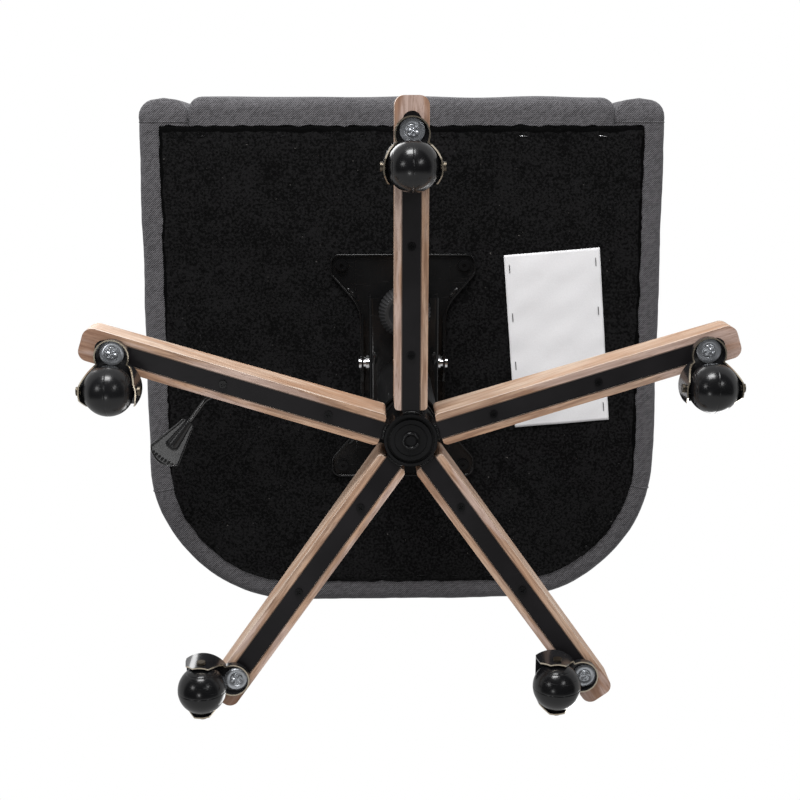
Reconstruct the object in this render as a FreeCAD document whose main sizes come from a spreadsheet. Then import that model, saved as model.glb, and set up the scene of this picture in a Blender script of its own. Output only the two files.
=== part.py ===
# Upholstered swivel chair on a five-arm wood-covered base, in millimetres.
# The origin is on the floor under the gas column. +Z is up and the front of the chair is -Y.
import FreeCAD, Part
import math
import os
import re
from types import SimpleNamespace

import Sketcher

Vector = FreeCAD.Vector
Rotation = FreeCAD.Rotation
Placement = FreeCAD.Placement

doc = FreeCAD.newDocument("SwivelChair")

# Driving dimensions: alias, value, what it is
dimensions = [
    ("arm_count", 5, "arms and casters of the base"),
    ("caster_circle", 313, "radius from the column to the caster stems"),
    ("wood_end_margin", 33, "from the caster stems' circle to the end of an arm"),
    ("arm_start", 31, "radius where the wood begins"),
    ("arm_underside_hub", 76, "height of the arm's underside at the column"),
    ("arm_underside_tip", 54.5, "height of the arm's underside at its end"),
    ("arm_height_hub", 56, "height of the wood at the column"),
    ("arm_height_tip", 37, "height of the wood at its end"),
    ("wood_width", 34, "width of the wood"),
    ("wood_end_radius", 10, "round of the arm's end seen from above"),
    ("wood_hub_radius", 4.5, "round of its inner end seen from above"),
    ("wood_edge_radius", 4, "round of the wood's upper edges"),
    ("steel_width", 17.5, "width of the steel arm"),
    ("steel_height", 24, "height of the steel arm"),
    ("steel_wall", 1.8, "wall of the steel arm"),
    ("steel_end_margin", 18, "from the caster stems' circle to the end of the steel arm"),
    ("socket_wall", 3, "wall of the socket for a caster stem"),
    ("groove_gap", 0.3, "gap each side of the steel arm in the wood"),
    ("inner_screw_radius", 89, "radius of the inner arm screw"),
    ("outer_screw_radius", 200, "radius of the outer arm screw"),
    ("arm_screw_diameter", 4, "shank of an arm screw"),
    ("arm_screw_length", 38, "length of an arm screw"),
    ("screw_head_diameter", 8, "head of an arm screw"),
    ("screw_head_height", 1.8, "height of that head"),
    ("hub_diameter", 55, "outside of the hub"),
    ("hub_bottom", 70, "height of the hub's lower face"),
    ("hub_height", 63, "height of the hub"),
    ("column_diameter", 50, "outer tube of the gas column"),
    ("column_wall", 1.6, "wall of the outer tube"),
    ("column_drop", 91, "from the seat plate down to the top of the outer tube"),
    ("column_inset", 4, "from the hub's lower face up to the outer tube"),
    ("end_plate_inset", 1, "from the hub's lower face up to the end plate"),
    ("end_plate_boss", 43, "raised middle of the end plate"),
    ("end_plate_boss_height", 3.5, "height of that middle"),
    ("end_plate_sheet", 3, "thickness of the end plate"),
    ("end_plate_groove", 33.4, "middle of the ring groove in the end plate"),
    ("bearing_width", 9, "thrust bearing, from the rod outwards"),
    ("bearing_height", 7, "thrust bearing"),
    ("bush_length", 64, "guide bush in the outer tube"),
    ("bush_flange", 2.5, "flange of the guide bush"),
    ("cylinder_diameter", 28, "gas cylinder"),
    ("cylinder_wall", 2.5, "wall of the gas cylinder"),
    ("cylinder_rise", 42, "from the hub's lower face to the gas cylinder"),
    ("cylinder_end", 10, "closed lower end of the gas cylinder"),
    ("valve_depth", 30, "valve block at the top of the gas cylinder"),
    ("rod_diameter", 10, "piston rod"),
    ("rod_collar", 18, "collar of the piston rod"),
    ("piston_height", 14, "piston on the rod"),
    ("lift_stroke", 100, "travel of the gas column"),
    ("cover_diameter", 66, "upper cover of the column"),
    ("cover_wall", 2, "wall of the column covers"),
    ("slide_gap", 0.05, "running clearance of a shaft in its hole"),
    ("free_gap", 0.3, "gap between pieces that move past each other"),
    ("wheel_diameter", 50, "ball wheel of a caster"),
    ("wheel_width", 48, "width of the ball wheel"),
    ("wheel_groove", 1, "width and depth of the groove round the wheel"),
    ("caster_trail", 33, "from the stem to the wheel's axle"),
    ("caster_axle_diameter", 6, "axle of the ball wheel"),
    ("rivet_diameter", 9, "heads of the axle"),
    ("rivet_height", 2.4, "height of an axle head"),
    ("hood_height", 53, "height of the hood's top"),
    ("hood_sheet", 1.4, "thickness of the hood"),
    ("hood_stem_radius", 17.5, "round of the hood about its stem"),
    ("hood_stem_offset", 3.5, "centre of that round, towards the wheel"),
    ("hood_wheel_radius", 28.5, "round of the hood about its wheel"),
    ("hood_wheel_offset", 34.5, "centre of that round"),
    ("hood_rim_depth", 7, "depth of the hood's rim at the stem"),
    ("hood_cheek_depth", 39, "depth of the hood's cheeks at the axle"),
    ("hood_length", 52, "from the stem to the hood's rear edge"),
    ("stem_diameter", 10, "stem of a caster"),
    ("stem_length", 26, "stem above the hood's underside"),
    ("stem_head_diameter", 12.5, "peened head of the stem"),
    ("stem_head_height", 2.2, "height of that head"),
    ("washer_diameter", 25, "washer under the hood"),
    ("washer_height", 1.2, "thickness of that washer"),
    ("seat_height", 391, "height of the seat plate over the column"),
    ("seat_pitch", 2.93, "rise of the seat to its front, in degrees"),
    ("plate_sheet", 2.5, "thickness of the seat plate"),
    ("plate_rim", 3.5, "turned-down rim of the seat plate"),
    ("plate_center", -12, "centre of the plate's hole pattern"),
    ("plate_hole_width", 152.4, "distance between the plate's holes across"),
    ("plate_hole_depth", 254, "distance between the plate's holes front to rear"),
    ("plate_ear", 14.5, "from a hole to the edge of its ear"),
    ("plate_waist", 108, "width of the plate's waist"),
    ("flange_spread", 99, "inside distance of the plate's flanges"),
    ("flange_length", 118, "length of a flange"),
    ("flange_depth", 12, "depth of a flange at its ends"),
    ("flange_below_axle", 9, "depth of a flange below the tilt axle"),
    ("plate_bolt_diameter", 6, "bolts of the seat plate"),
    ("plate_bolt_head", 13, "heads of those bolts"),
    ("plate_bolt_head_height", 3.8, "height of those heads"),
    ("plate_washer_sheet", 1.2, "washers under those heads"),
    ("axle_diameter", 10, "tilt axle"),
    ("axle_head_diameter", 14, "heads of the tilt axle"),
    ("axle_head_height", 2.8, "heads of the tilt axle"),
    ("axle_spacer", 4, "collars of the tilt axle beside the housing"),
    ("axle_back", -18, "tilt axle, forward of the column, along the seat"),
    ("axle_drop", 14, "tilt axle, below the seat board"),
    ("housing_width", 85, "outside width of the tilt housing"),
    ("housing_sheet", 2.5, "thickness of the tilt housing"),
    ("housing_bend", 5, "outer bend of its lower edges"),
    ("housing_front", -106, "front edge of the tilt housing"),
    ("housing_rear", 52, "rear edge of the tilt housing"),
    ("housing_drop", 51, "from the seat plate down to the housing's floor"),
    ("boss_diameter", 36, "socket for the gas cylinder"),
    ("boss_below", 22, "socket below the housing's floor"),
    ("boss_above", 16, "socket above the housing's floor"),
    ("pin_diameter", 7, "release pin of the gas cylinder"),
    ("pin_height", 5, "release pin above the cylinder"),
    ("knob_diameter", 62, "tension knob"),
    ("knob_height", 26, "height of the tension knob"),
    ("knob_back", -90, "tension knob along the seat"),
    ("knob_drop", 78, "from the seat board down to the top of the knob"),
    ("knob_rib_count", 40, "ribs round the knob"),
    ("bolt_diameter", 10, "tension bolt"),
    ("spring_diameter", 34, "tilt spring"),
    ("spring_wire", 2.6, "wire of the tilt spring"),
    ("spring_length", 20, "length of the tilt spring"),
    ("spring_turns", 2.5, "turns of the tilt spring"),
    ("lever_diameter", 5, "lever rod"),
    ("lever_pivot_x", -30, "lever pin, to the side of the column"),
    ("lever_pivot_y", 28, "lever pin, behind the column"),
    ("lever_pin_diameter", 5, "lever pin"),
    ("lever_overhang", 3, "lever rod past the middle of the release pin"),
    ("lever_pivot_bend", 14, "radius of the rod's bend at its pin"),
    ("lever_tip_bend", 22, "radius of the rod's bend near the paddle"),
    ("lever_sleeve_length", 16, "sleeve of the lever on its pin"),
    ("lever_sleeve_wall", 2.5, "wall of that sleeve"),
    ("bracket_width", 11, "ears of the lever bracket"),
    ("bracket_sheet", 2, "thickness of those ears"),
    ("lever_bend_x", -239, "bend of the lever rod"),
    ("lever_bend_y", 12, "bend of the lever rod"),
    ("lever_bend_z", 334, "height of that bend"),
    ("paddle_x", -262.6, "root of the paddle"),
    ("paddle_y", 43.4, "root of the paddle"),
    ("paddle_z", 331, "height of the paddle"),
    ("paddle_length", 64, "length of the paddle"),
    ("paddle_width", 45, "width of the paddle at its tip"),
    ("paddle_root_width", 20, "width of the paddle at its root"),
    ("paddle_sheet", 4, "thickness of the paddle"),
    ("paddle_shoulder", 8, "from the paddle's root to its straight sides"),
    ("paddle_bow", 10, "bow of the paddle's tip"),
    ("paddle_ridge", 2.2, "width of the ridges along the tip"),
    ("paddle_ridge_length", 7, "length of those ridges"),
    ("body_width", 648, "width of the upholstered body"),
    ("body_front", -342, "front of the upholstered body"),
    ("body_rear", 297.5, "rear of the upholstered body"),
    ("body_corner", 187, "round of its rear corners"),
    ("front_round", 22, "round of the front of the arms and the rail"),
    ("wall_thickness", 62, "thickness of the arms and the back"),
    ("wall_foot_radius", 13, "round of their lower outer edge"),
    ("wall_top_radius", 27, "round of their top"),
    ("arm_top", 270, "height of the arms above the seat board's underside"),
    ("back_top", 452, "height of the back above the same"),
    ("back_lean", 0.055, "lean of the back per height"),
    ("board_thickness", 15, "seat board"),
    ("rail_depth", 40, "front rail, front to rear"),
    ("deck_height", 50, "top of the rail and of the deck foam"),
    ("soft_gap", 0.3, "gap round the soft pieces"),
    ("cushion_height", 62, "seat cushion at its crown"),
    ("cushion_corner", 16, "round of the seat cushion's front corners"),
    ("cushion_crown", 9, "rise of the seat cushion's crown"),
    ("cushion_crown_run", 125, "from a cushion's round edge to its crown"),
    ("cushion_round", 13, "round of the cushion's edges"),
    ("cushion_pull", 5, "how far the cushion's sides are drawn in"),
    ("back_cushion_width", 356, "back cushion"),
    ("back_cushion_height", 325, "back cushion"),
    ("back_cushion_depth", 64, "back cushion at its crown"),
    ("back_cushion_foot", 30, "round of its lower corners"),
    ("back_cushion_head", 38, "round of its upper corners"),
    ("back_crown", 12, "rise of the back cushion's crown"),
    ("back_cushion_gap", 1, "from the back to the back cushion"),
    ("back_cushion_lift", 3.5, "from the seat cushion to the back cushion"),
    ("cloth_thickness", 0.8, "dust cover"),
    ("cover_side_margin", 27.5, "from the body's sides to the dust cover"),
    ("cover_front_margin", 38, "from the body's front to the dust cover"),
    ("cover_rear_margin", 27.5, "from the body's rear to the dust cover"),
    ("cover_front_corner", 9, "round of the dust cover's front corners"),
    ("sheet_width", 120, "paper sheet"),
    ("sheet_length", 219, "paper sheet"),
    ("sheet_from_side", 102.5, "from the dust cover's side to the middle of the paper sheet"),
    ("sheet_from_front", 257, "from the dust cover's front to the middle of the paper sheet"),
    ("sheet_turn", -4.5, "turn of the paper sheet, in degrees"),
    ("paper_thickness", 0.3, "paper sheet"),
    ("staple_length", 10, "crown of a staple"),
    ("staple_wire", 0.8, "wire of a staple"),
    ("staple_edge", 7, "from the dust cover's edge to the staples"),
]

sheet = doc.addObject("Spreadsheet::Sheet", "Sizes")
for row, (alias, number, note) in enumerate(dimensions, 1):
    sheet.set("A%d" % row, alias)
    sheet.set("B%d" % row, str(number))
    sheet.setAlias("B%d" % row, alias)
    sheet.set("C%d" % row, note)
doc.recompute()

aliases = {alias for alias, number, note in dimensions}
s = SimpleNamespace(**{alias: float(sheet.get(alias)) for alias in aliases})

# Every object that becomes a file, by its label
parts = {}


def formula(text):
    """Put the sheet's name before each alias in an expression."""
    return re.sub(r"[a-z_]+", lambda word: "Sizes." + word.group()
                  if word.group() in aliases else word.group(), text)


def bind(item, **sizes):
    for prop, text in sizes.items():
        item.setExpression(prop, formula(text))


def seat_at(item, x=None, y=None, z=None):
    """Bind the place of an object to the sheet."""
    for axis, text in (("x", x), ("y", y), ("z", z)):
        if text:
            item.setExpression("Placement.Base." + axis, formula(text))


def part(item, label):
    """Say that an object is a sub-part of the chair."""
    item.Label = label
    parts[label] = item
    return item


# Primitives and booleans
def cylinder(name, radius, low, high, x=None, y=None):
    item = doc.addObject("Part::Cylinder", name)
    bind(item, Radius=radius, Height="(%s) - (%s)" % (high, low))
    seat_at(item, x, y, low)
    return item


def cross_cylinder(name, radius, length, turn, x=None, y=None, z=None):
    """A cylinder that lies along the direction that turn gives, centred on its place."""
    item = doc.addObject("Part::Cylinder", name)
    item.Placement = Placement(Vector(0, 0, 0), turn)
    bind(item, Radius=radius, Height=length)
    seat_at(item, x, y, z)
    return item


def block(name, low, high):
    """A box from one corner to another, each corner three formulas."""
    item = doc.addObject("Part::Box", name)
    for prop, a, b in zip(("Length", "Width", "Height"), low, high):
        bind(item, **{prop: "(%s) - (%s)" % (b, a)})
    seat_at(item, *low)
    return item


def fuse(name, *shapes):
    item = doc.addObject("Part::MultiFuse", name)
    item.Shapes = list(shapes)
    return item


def cut(name, base, *tools):
    item = doc.addObject("Part::Cut", name)
    item.Base = base
    item.Tool = tools[0] if len(tools) == 1 else fuse(name + "_tools", *tools)
    return item


def group(name, *shapes):
    """Separate solids that share one node."""
    item = doc.addObject("Part::Compound", name)
    item.Links = list(shapes)
    return item


def ring(name, outer, inner, low, high, y=None):
    return cut(name, cylinder(name + "_outer", outer, low, high, y=y),
               cylinder(name + "_inner", inner, "(%s) - 1" % low, "(%s) + 1" % high, y=y))


# Bodies, sketches and features
def new_body(name):
    return doc.addObject("PartDesign::Body", name)


def plane(body, role):
    return [item for item in body.Origin.OriginFeatures if item.Role == role][0]


def new_sketch(body, name, role, offset=None):
    sketch = body.newObject("Sketcher::SketchObject", name)
    sketch.AttachmentSupport = [(plane(body, role), "")]
    sketch.MapMode = "FlatFace"
    if offset:
        sketch.setExpression("AttachmentOffset.Base.z", formula(offset))
    return sketch


def pin_point(sketch, edge, end, across, up):
    """Hold a point of a sketch at two formulas."""
    for kind, text in (("DistanceX", across), ("DistanceY", up)):
        index = sketch.addConstraint(Sketcher.Constraint(kind, -1, 1, edge, end, 1.0))
        sketch.setExpression("Constraints[%d]" % index, formula(text))


def draw_lines(sketch, corners):
    """A closed outline of straight lines through corners, each a pair of formulas."""
    first = sketch.GeometryCount
    count = len(corners)
    for index in range(count):
        turn = 2 * math.pi * index / count
        after = 2 * math.pi * (index + 1) / count
        sketch.addGeometry(Part.LineSegment(Vector(math.cos(turn), math.sin(turn), 0),
                                            Vector(math.cos(after), math.sin(after), 0)))
    for index in range(count):
        sketch.addConstraint(Sketcher.Constraint("Coincident", first + index, 2,
                                                 first + (index + 1) % count, 1))
    for index, (across, up) in enumerate(corners):
        pin_point(sketch, first + index, 1, across, up)


def draw_circle(sketch, radius, across, up):
    index = sketch.addGeometry(Part.Circle(Vector(0, 0, 0), Vector(0, 0, 1), 1))
    pin_point(sketch, index, 3, across, up)
    datum = sketch.addConstraint(Sketcher.Constraint("Radius", index, 1.0))
    sketch.setExpression("Constraints[%d]" % datum, formula(radius))


def pad(body, name, sketch, length, middle=False):
    item = body.newObject("PartDesign::Pad", name)
    item.Profile = sketch
    item.Midplane = middle
    bind(item, Length=length)
    return item


def pocket(body, name, sketch, length):
    """A cut to both sides of the sketch."""
    item = body.newObject("PartDesign::Pocket", name)
    item.Profile = sketch
    item.Midplane = True
    bind(item, Length=length)
    return item


def edges_where(feature, test):
    names = []
    for index, edge in enumerate(feature.Shape.Edges, 1):
        if test(edge):
            names.append("Edge%d" % index)
    return names


def round_edges(body, name, feature, radius, test):
    """A fillet on the edges that the test picks."""
    doc.recompute()
    item = body.newObject("PartDesign::Fillet", name)
    item.Base = (feature, edges_where(feature, test))
    bind(item, Radius=radius)
    return item


def upright(edge):
    box = edge.BoundBox
    return box.ZLength > 1 and box.XLength < 1e-3 and box.YLength < 1e-3


def runs_along_y(edge):
    box = edge.BoundBox
    return box.YLength > 1 and box.XLength < 1e-3 and box.ZLength < 1e-3


def clone(label, original, placement):
    """A body that repeats another object at a place of its own."""
    body = new_body(label)
    copy = body.newObject("PartDesign::FeatureBase", label + "_copy")
    copy.BaseFeature = original
    body.Tip = copy
    body.Placement = placement
    return part(body, label)


# The base's arms: names and directions, the first to the front
arm_names = ["front", "right", "rear_right", "rear_left", "left"]
arm_names += ["extra_%d" % index for index in range(len(arm_names), int(s.arm_count))]
arm_names = arm_names[:int(s.arm_count)]
arm_turns = [-90 + 360 / s.arm_count * index for index in range(len(arm_names))]

# Formulas that several sub-parts share
arm_reach = "(caster_circle + wood_end_margin)"
steel_reach = "(caster_circle + steel_end_margin)"
underside_slope = "(arm_underside_hub - arm_underside_tip) / " + arm_reach
hub_top = "(hub_bottom + hub_height)"
tube_top = "(seat_height - column_drop)"
housing_floor = "(seat_height - housing_drop)"
boss_top = "(seat_height - housing_drop + boss_above)"
cylinder_bottom = "(hub_bottom + cylinder_rise)"
over_arms = "(arm_underside_hub + arm_height_hub)"


def underside_at(radius):
    """Formula for the height of an arm's underside at a radius."""
    return "(arm_underside_hub - %s * (%s))" % (underside_slope, radius)


def make_steel_arm():
    """Hollow steel arm along +X, with the socket for a caster stem welded in."""
    body = new_body("steel_arm_pattern")
    side = new_sketch(body, "steel_side", "XZ_Plane")
    root = "hub_diameter / 4"
    draw_lines(side, [(root, underside_at(root)),
                      (steel_reach, underside_at(steel_reach)),
                      (steel_reach, underside_at(steel_reach) + " + steel_height"),
                      (root, underside_at(root) + " + steel_height")])
    bar = pad(body, "steel_bar", side, "steel_width", middle=True)
    end_x = s.caster_circle + s.steel_end_margin
    round_edges(body, "steel_end", bar, "steel_width / 2 - 0.2",
                lambda edge: upright(edge) and edge.BoundBox.XMin > end_x - 1)
    hollow = new_sketch(body, "steel_hollow_side", "XZ_Plane")
    inner_start = "hub_diameter / 5"
    inner_end = steel_reach + " - steel_width / 2"
    floor = " + steel_wall"
    ceiling = " + steel_height - steel_wall"
    draw_lines(hollow, [(inner_start, underside_at(inner_start) + floor),
                        (inner_end, underside_at(inner_end) + floor),
                        (inner_end, underside_at(inner_end) + ceiling),
                        (inner_start, underside_at(inner_start) + ceiling)])
    pocket(body, "steel_hollow", hollow, "steel_width - 2 * steel_wall")
    socket = new_sketch(body, "socket_round", "XY_Plane", "hood_height + free_gap")
    draw_circle(socket, "stem_diameter / 2 + socket_wall", "caster_circle", "0")
    pad(body, "socket", socket,
        underside_at("caster_circle") + ceiling + " - hood_height - free_gap")
    hub = new_sketch(body, "hub_round", "XY_Plane")
    draw_circle(hub, "hub_diameter / 2", "0", "0")
    pocket(body, "hub_seat", hub, "2 * " + over_arms)
    bore = new_sketch(body, "stem_bore_round", "XY_Plane")
    draw_circle(bore, "stem_diameter / 2", "caster_circle", "0")
    pocket(body, "stem_bore", bore,
           "2 * (hood_height - hood_sheet - washer_height + stem_length)")
    screws = new_sketch(body, "screw_rounds", "XY_Plane")
    for radius in ("inner_screw_radius", "outer_screw_radius"):
        draw_circle(screws, "arm_screw_diameter / 2", radius, "0")
    pocket(body, "screw_holes", screws, "2 * " + over_arms)
    return body


def make_wood_arm():
    """Wood cover along +X: a tapering bar with round ends, grooved below for the steel."""
    body = new_body("wood_arm_pattern")
    side = new_sketch(body, "wood_side", "XZ_Plane")
    draw_lines(side, [("arm_start", underside_at("arm_start")),
                      (arm_reach, underside_at(arm_reach)),
                      (arm_reach, underside_at(arm_reach) + " + arm_height_tip"),
                      ("arm_start", underside_at("arm_start") + " + arm_height_hub")])
    bar = pad(body, "wood_bar", side, "wood_width", middle=True)
    end_x = s.caster_circle + s.wood_end_margin
    tip = round_edges(body, "wood_end", bar, "wood_end_radius",
                      lambda edge: upright(edge) and edge.BoundBox.XMin > end_x - 1)
    both = round_edges(body, "wood_inner_end", tip, "wood_hub_radius",
                       lambda edge: upright(edge) and edge.BoundBox.XMax < s.arm_start + 1)
    below_top = s.arm_underside_tip + s.arm_height_tip - 2
    round_edges(body, "wood_edges", both, "wood_edge_radius",
                lambda edge: edge.BoundBox.ZMin > below_top)
    groove = new_sketch(body, "groove_side", "XZ_Plane")
    groove_start = "arm_start - 5"
    groove_end = steel_reach + " + groove_gap"
    deep = " + steel_height + groove_gap"
    draw_lines(groove, [(groove_start, underside_at(groove_start) + " - 5"),
                        (groove_end, underside_at(groove_end) + " - 5"),
                        (groove_end, underside_at(groove_end) + deep),
                        (groove_start, underside_at(groove_start) + deep)])
    grooved = pocket(body, "groove", groove, "steel_width + 2 * groove_gap")
    inner_x = s.caster_circle + s.steel_end_margin
    round_edges(body, "groove_end", grooved, "steel_width / 2 + groove_gap - 0.2",
                lambda edge: upright(edge) and inner_x - 1 < edge.BoundBox.XMin < inner_x + 1)
    screws = new_sketch(body, "pilot_rounds", "XY_Plane")
    for radius in ("inner_screw_radius", "outer_screw_radius"):
        draw_circle(screws, "arm_screw_diameter / 2", radius, "0")
    pocket(body, "pilot_holes", screws, "2 * (arm_underside_hub + arm_screw_length)")
    return body


def make_base():
    steel = make_steel_arm()
    wood = make_wood_arm()
    screws = []
    for name, turn in zip(arm_names, arm_turns):
        place = Placement(Vector(0, 0, 0), Rotation(Vector(0, 0, 1), turn))
        clone("steel_arm_" + name, steel, place)
        clone("wood_arm_" + name, wood, place)
        for index, radius in enumerate(("inner_screw_radius", "outer_screw_radius")):
            screws.append(make_arm_screw("%s_screw_%d" % (name, index), radius, turn))
    part(group("arm_screw_group", *screws), "arm_screws")
    hub = ring("hub_ring", "hub_diameter / 2", "column_diameter / 2", "hub_bottom", hub_top)
    part(hub, "hub")


def make_arm_screw(name, radius, turn):
    """A screw that comes up through the steel into the wood, with a cross recess."""
    low = underside_at("%s + screw_head_diameter / 2" % radius)
    head = cylinder(name + "_head", "screw_head_diameter / 2", low + " - screw_head_height", low)
    shank = cylinder(name + "_shank", "arm_screw_diameter / 2", low, low + " + arm_screw_length")
    long, short = "screw_head_diameter * 0.3", "screw_head_diameter * 0.07"
    recess = [block("%s_slot_%d" % (name, index), ("-" + a, "-" + b, low + " - screw_head_height - 1"),
                    (a, b, low + " - screw_head_height * 0.4"))
              for index, (a, b) in enumerate(((long, short), (short, long)))]
    screw = cut(name, fuse(name + "_blank", head, shank), *recess)
    distance = s.inner_screw_radius if radius.startswith("inner") else s.outer_screw_radius
    angle = math.radians(turn)
    screw.Placement = Placement(Vector(distance * math.cos(angle), distance * math.sin(angle), 0),
                                Rotation(Vector(0, 0, 1), turn))
    return screw


def make_column():
    """Gas column: outer tube, end plate, bearing, bush, rod, cylinder, pin and two covers."""
    inside = "(column_diameter / 2 - column_wall)"
    part(ring("column", "column_diameter / 2", inside, "hub_bottom + column_inset", tube_top),
         "column_tube")
    # The end plate has a raised middle with a ring groove; a dark gap is left round it
    boss_low = "hub_bottom + end_plate_inset"
    plate_low = boss_low + " + end_plate_boss_height"
    bearing_low = plate_low + " + end_plate_sheet"
    plate = fuse("end_plate_blank",
                 cylinder("end_plate_disc", inside, plate_low, bearing_low),
                 cylinder("end_plate_middle", "end_plate_boss / 2", boss_low, plate_low))
    hole = cylinder("end_plate_hole", "rod_diameter / 2 + slide_gap", boss_low + " - 1",
                    bearing_low + " + 1")
    groove = ring("end_plate_groove_ring", "end_plate_groove / 2 + 0.5",
                  "end_plate_groove / 2 - 0.5", boss_low + " - 1", boss_low + " + 1")
    part(cut("end_plate", plate, hole, groove), "column_end_plate")
    collar = bearing_low + " + bearing_height"
    bearing = ring("bearing", "rod_diameter / 2 + bearing_width",
                   "rod_diameter / 2 + slide_gap", bearing_low, collar)
    part(bearing, "thrust_bearing")
    bush = fuse("bush_blank",
                ring("bush_sleeve", inside, "cylinder_diameter / 2 + slide_gap",
                     tube_top + " - bush_length", tube_top),
                ring("bush_lip", "column_diameter / 2", "cylinder_diameter / 2 + slide_gap",
                     tube_top, tube_top + " + bush_flange"))
    part(bush, "guide_bush")
    # The rod stands on the bearing with its collar and carries the piston in the cylinder
    bore = "cylinder_diameter / 2 - cylinder_wall"
    chamber_low = cylinder_bottom + " + cylinder_end"
    piston_low = chamber_low + " + lift_stroke + 3"
    rod = fuse("rod_blank",
               cylinder("rod_shaft", "rod_diameter / 2", "hub_bottom - 1.6", piston_low),
               cylinder("rod_ring", "rod_collar / 2", collar + " + free_gap",
                        collar + " + free_gap + 5"),
               cylinder("rod_piston", bore + " - slide_gap", piston_low,
                        piston_low + " + piston_height"))
    part(rod, "piston_rod")
    clip = ring("clip_blank", "rod_diameter / 2 + 4", "rod_diameter / 2",
                "hub_bottom - 0.6", boss_low + " - free_gap")
    slots = []
    for index in range(3):
        slot = block("clip_slot_%d" % index, ("0", "-rod_diameter * 0.1", "hub_bottom - 2"),
                     ("rod_diameter * 0.75", "rod_diameter * 0.1", "hub_bottom + 2"))
        turned = group("clip_slot_turned_%d" % index, slot)
        turned.Placement = Placement(Vector(0, 0, 0), Rotation(Vector(0, 0, 1), 120 * index))
        slots.append(turned)
    part(cut("clip", clip, *slots), "retaining_clip")
    # Cylinder with its seal at the bottom and the valve block with the release pin on top
    pin_low = boss_top + " - 2 * pin_diameter"
    blank = cylinder("cylinder_blank", "cylinder_diameter / 2", cylinder_bottom, boss_top)
    chamber = cylinder("cylinder_chamber", bore, chamber_low, boss_top + " - valve_depth")
    seal = cylinder("cylinder_seal", "rod_diameter / 2 + slide_gap", cylinder_bottom + " - 1",
                    chamber_low + " + 1")
    valve = cylinder("cylinder_valve", "pin_diameter / 2 + slide_gap", pin_low + " - 4",
                     boss_top + " + 1")
    part(cut("cylinder", blank, chamber, seal, valve), "gas_cylinder")
    part(cylinder("pin", "pin_diameter / 2", pin_low, boss_top + " + pin_height"),
         "release_pin")
    outside = "cover_diameter / 2"
    wall = ring("upper_cover_wall", outside, outside + " - cover_wall", hub_top + " + 12",
                housing_floor)
    lid = ring("upper_cover_lid", outside, "boss_diameter / 2 + free_gap",
               housing_floor + " - cover_wall", housing_floor)
    part(fuse("upper_cover", wall, lid), "column_cover_upper")
    lower = outside + " - cover_wall - 2"
    part(ring("lower_cover", lower, lower + " - cover_wall", hub_top, housing_floor + " - 18"),
         "column_cover_lower")


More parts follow.
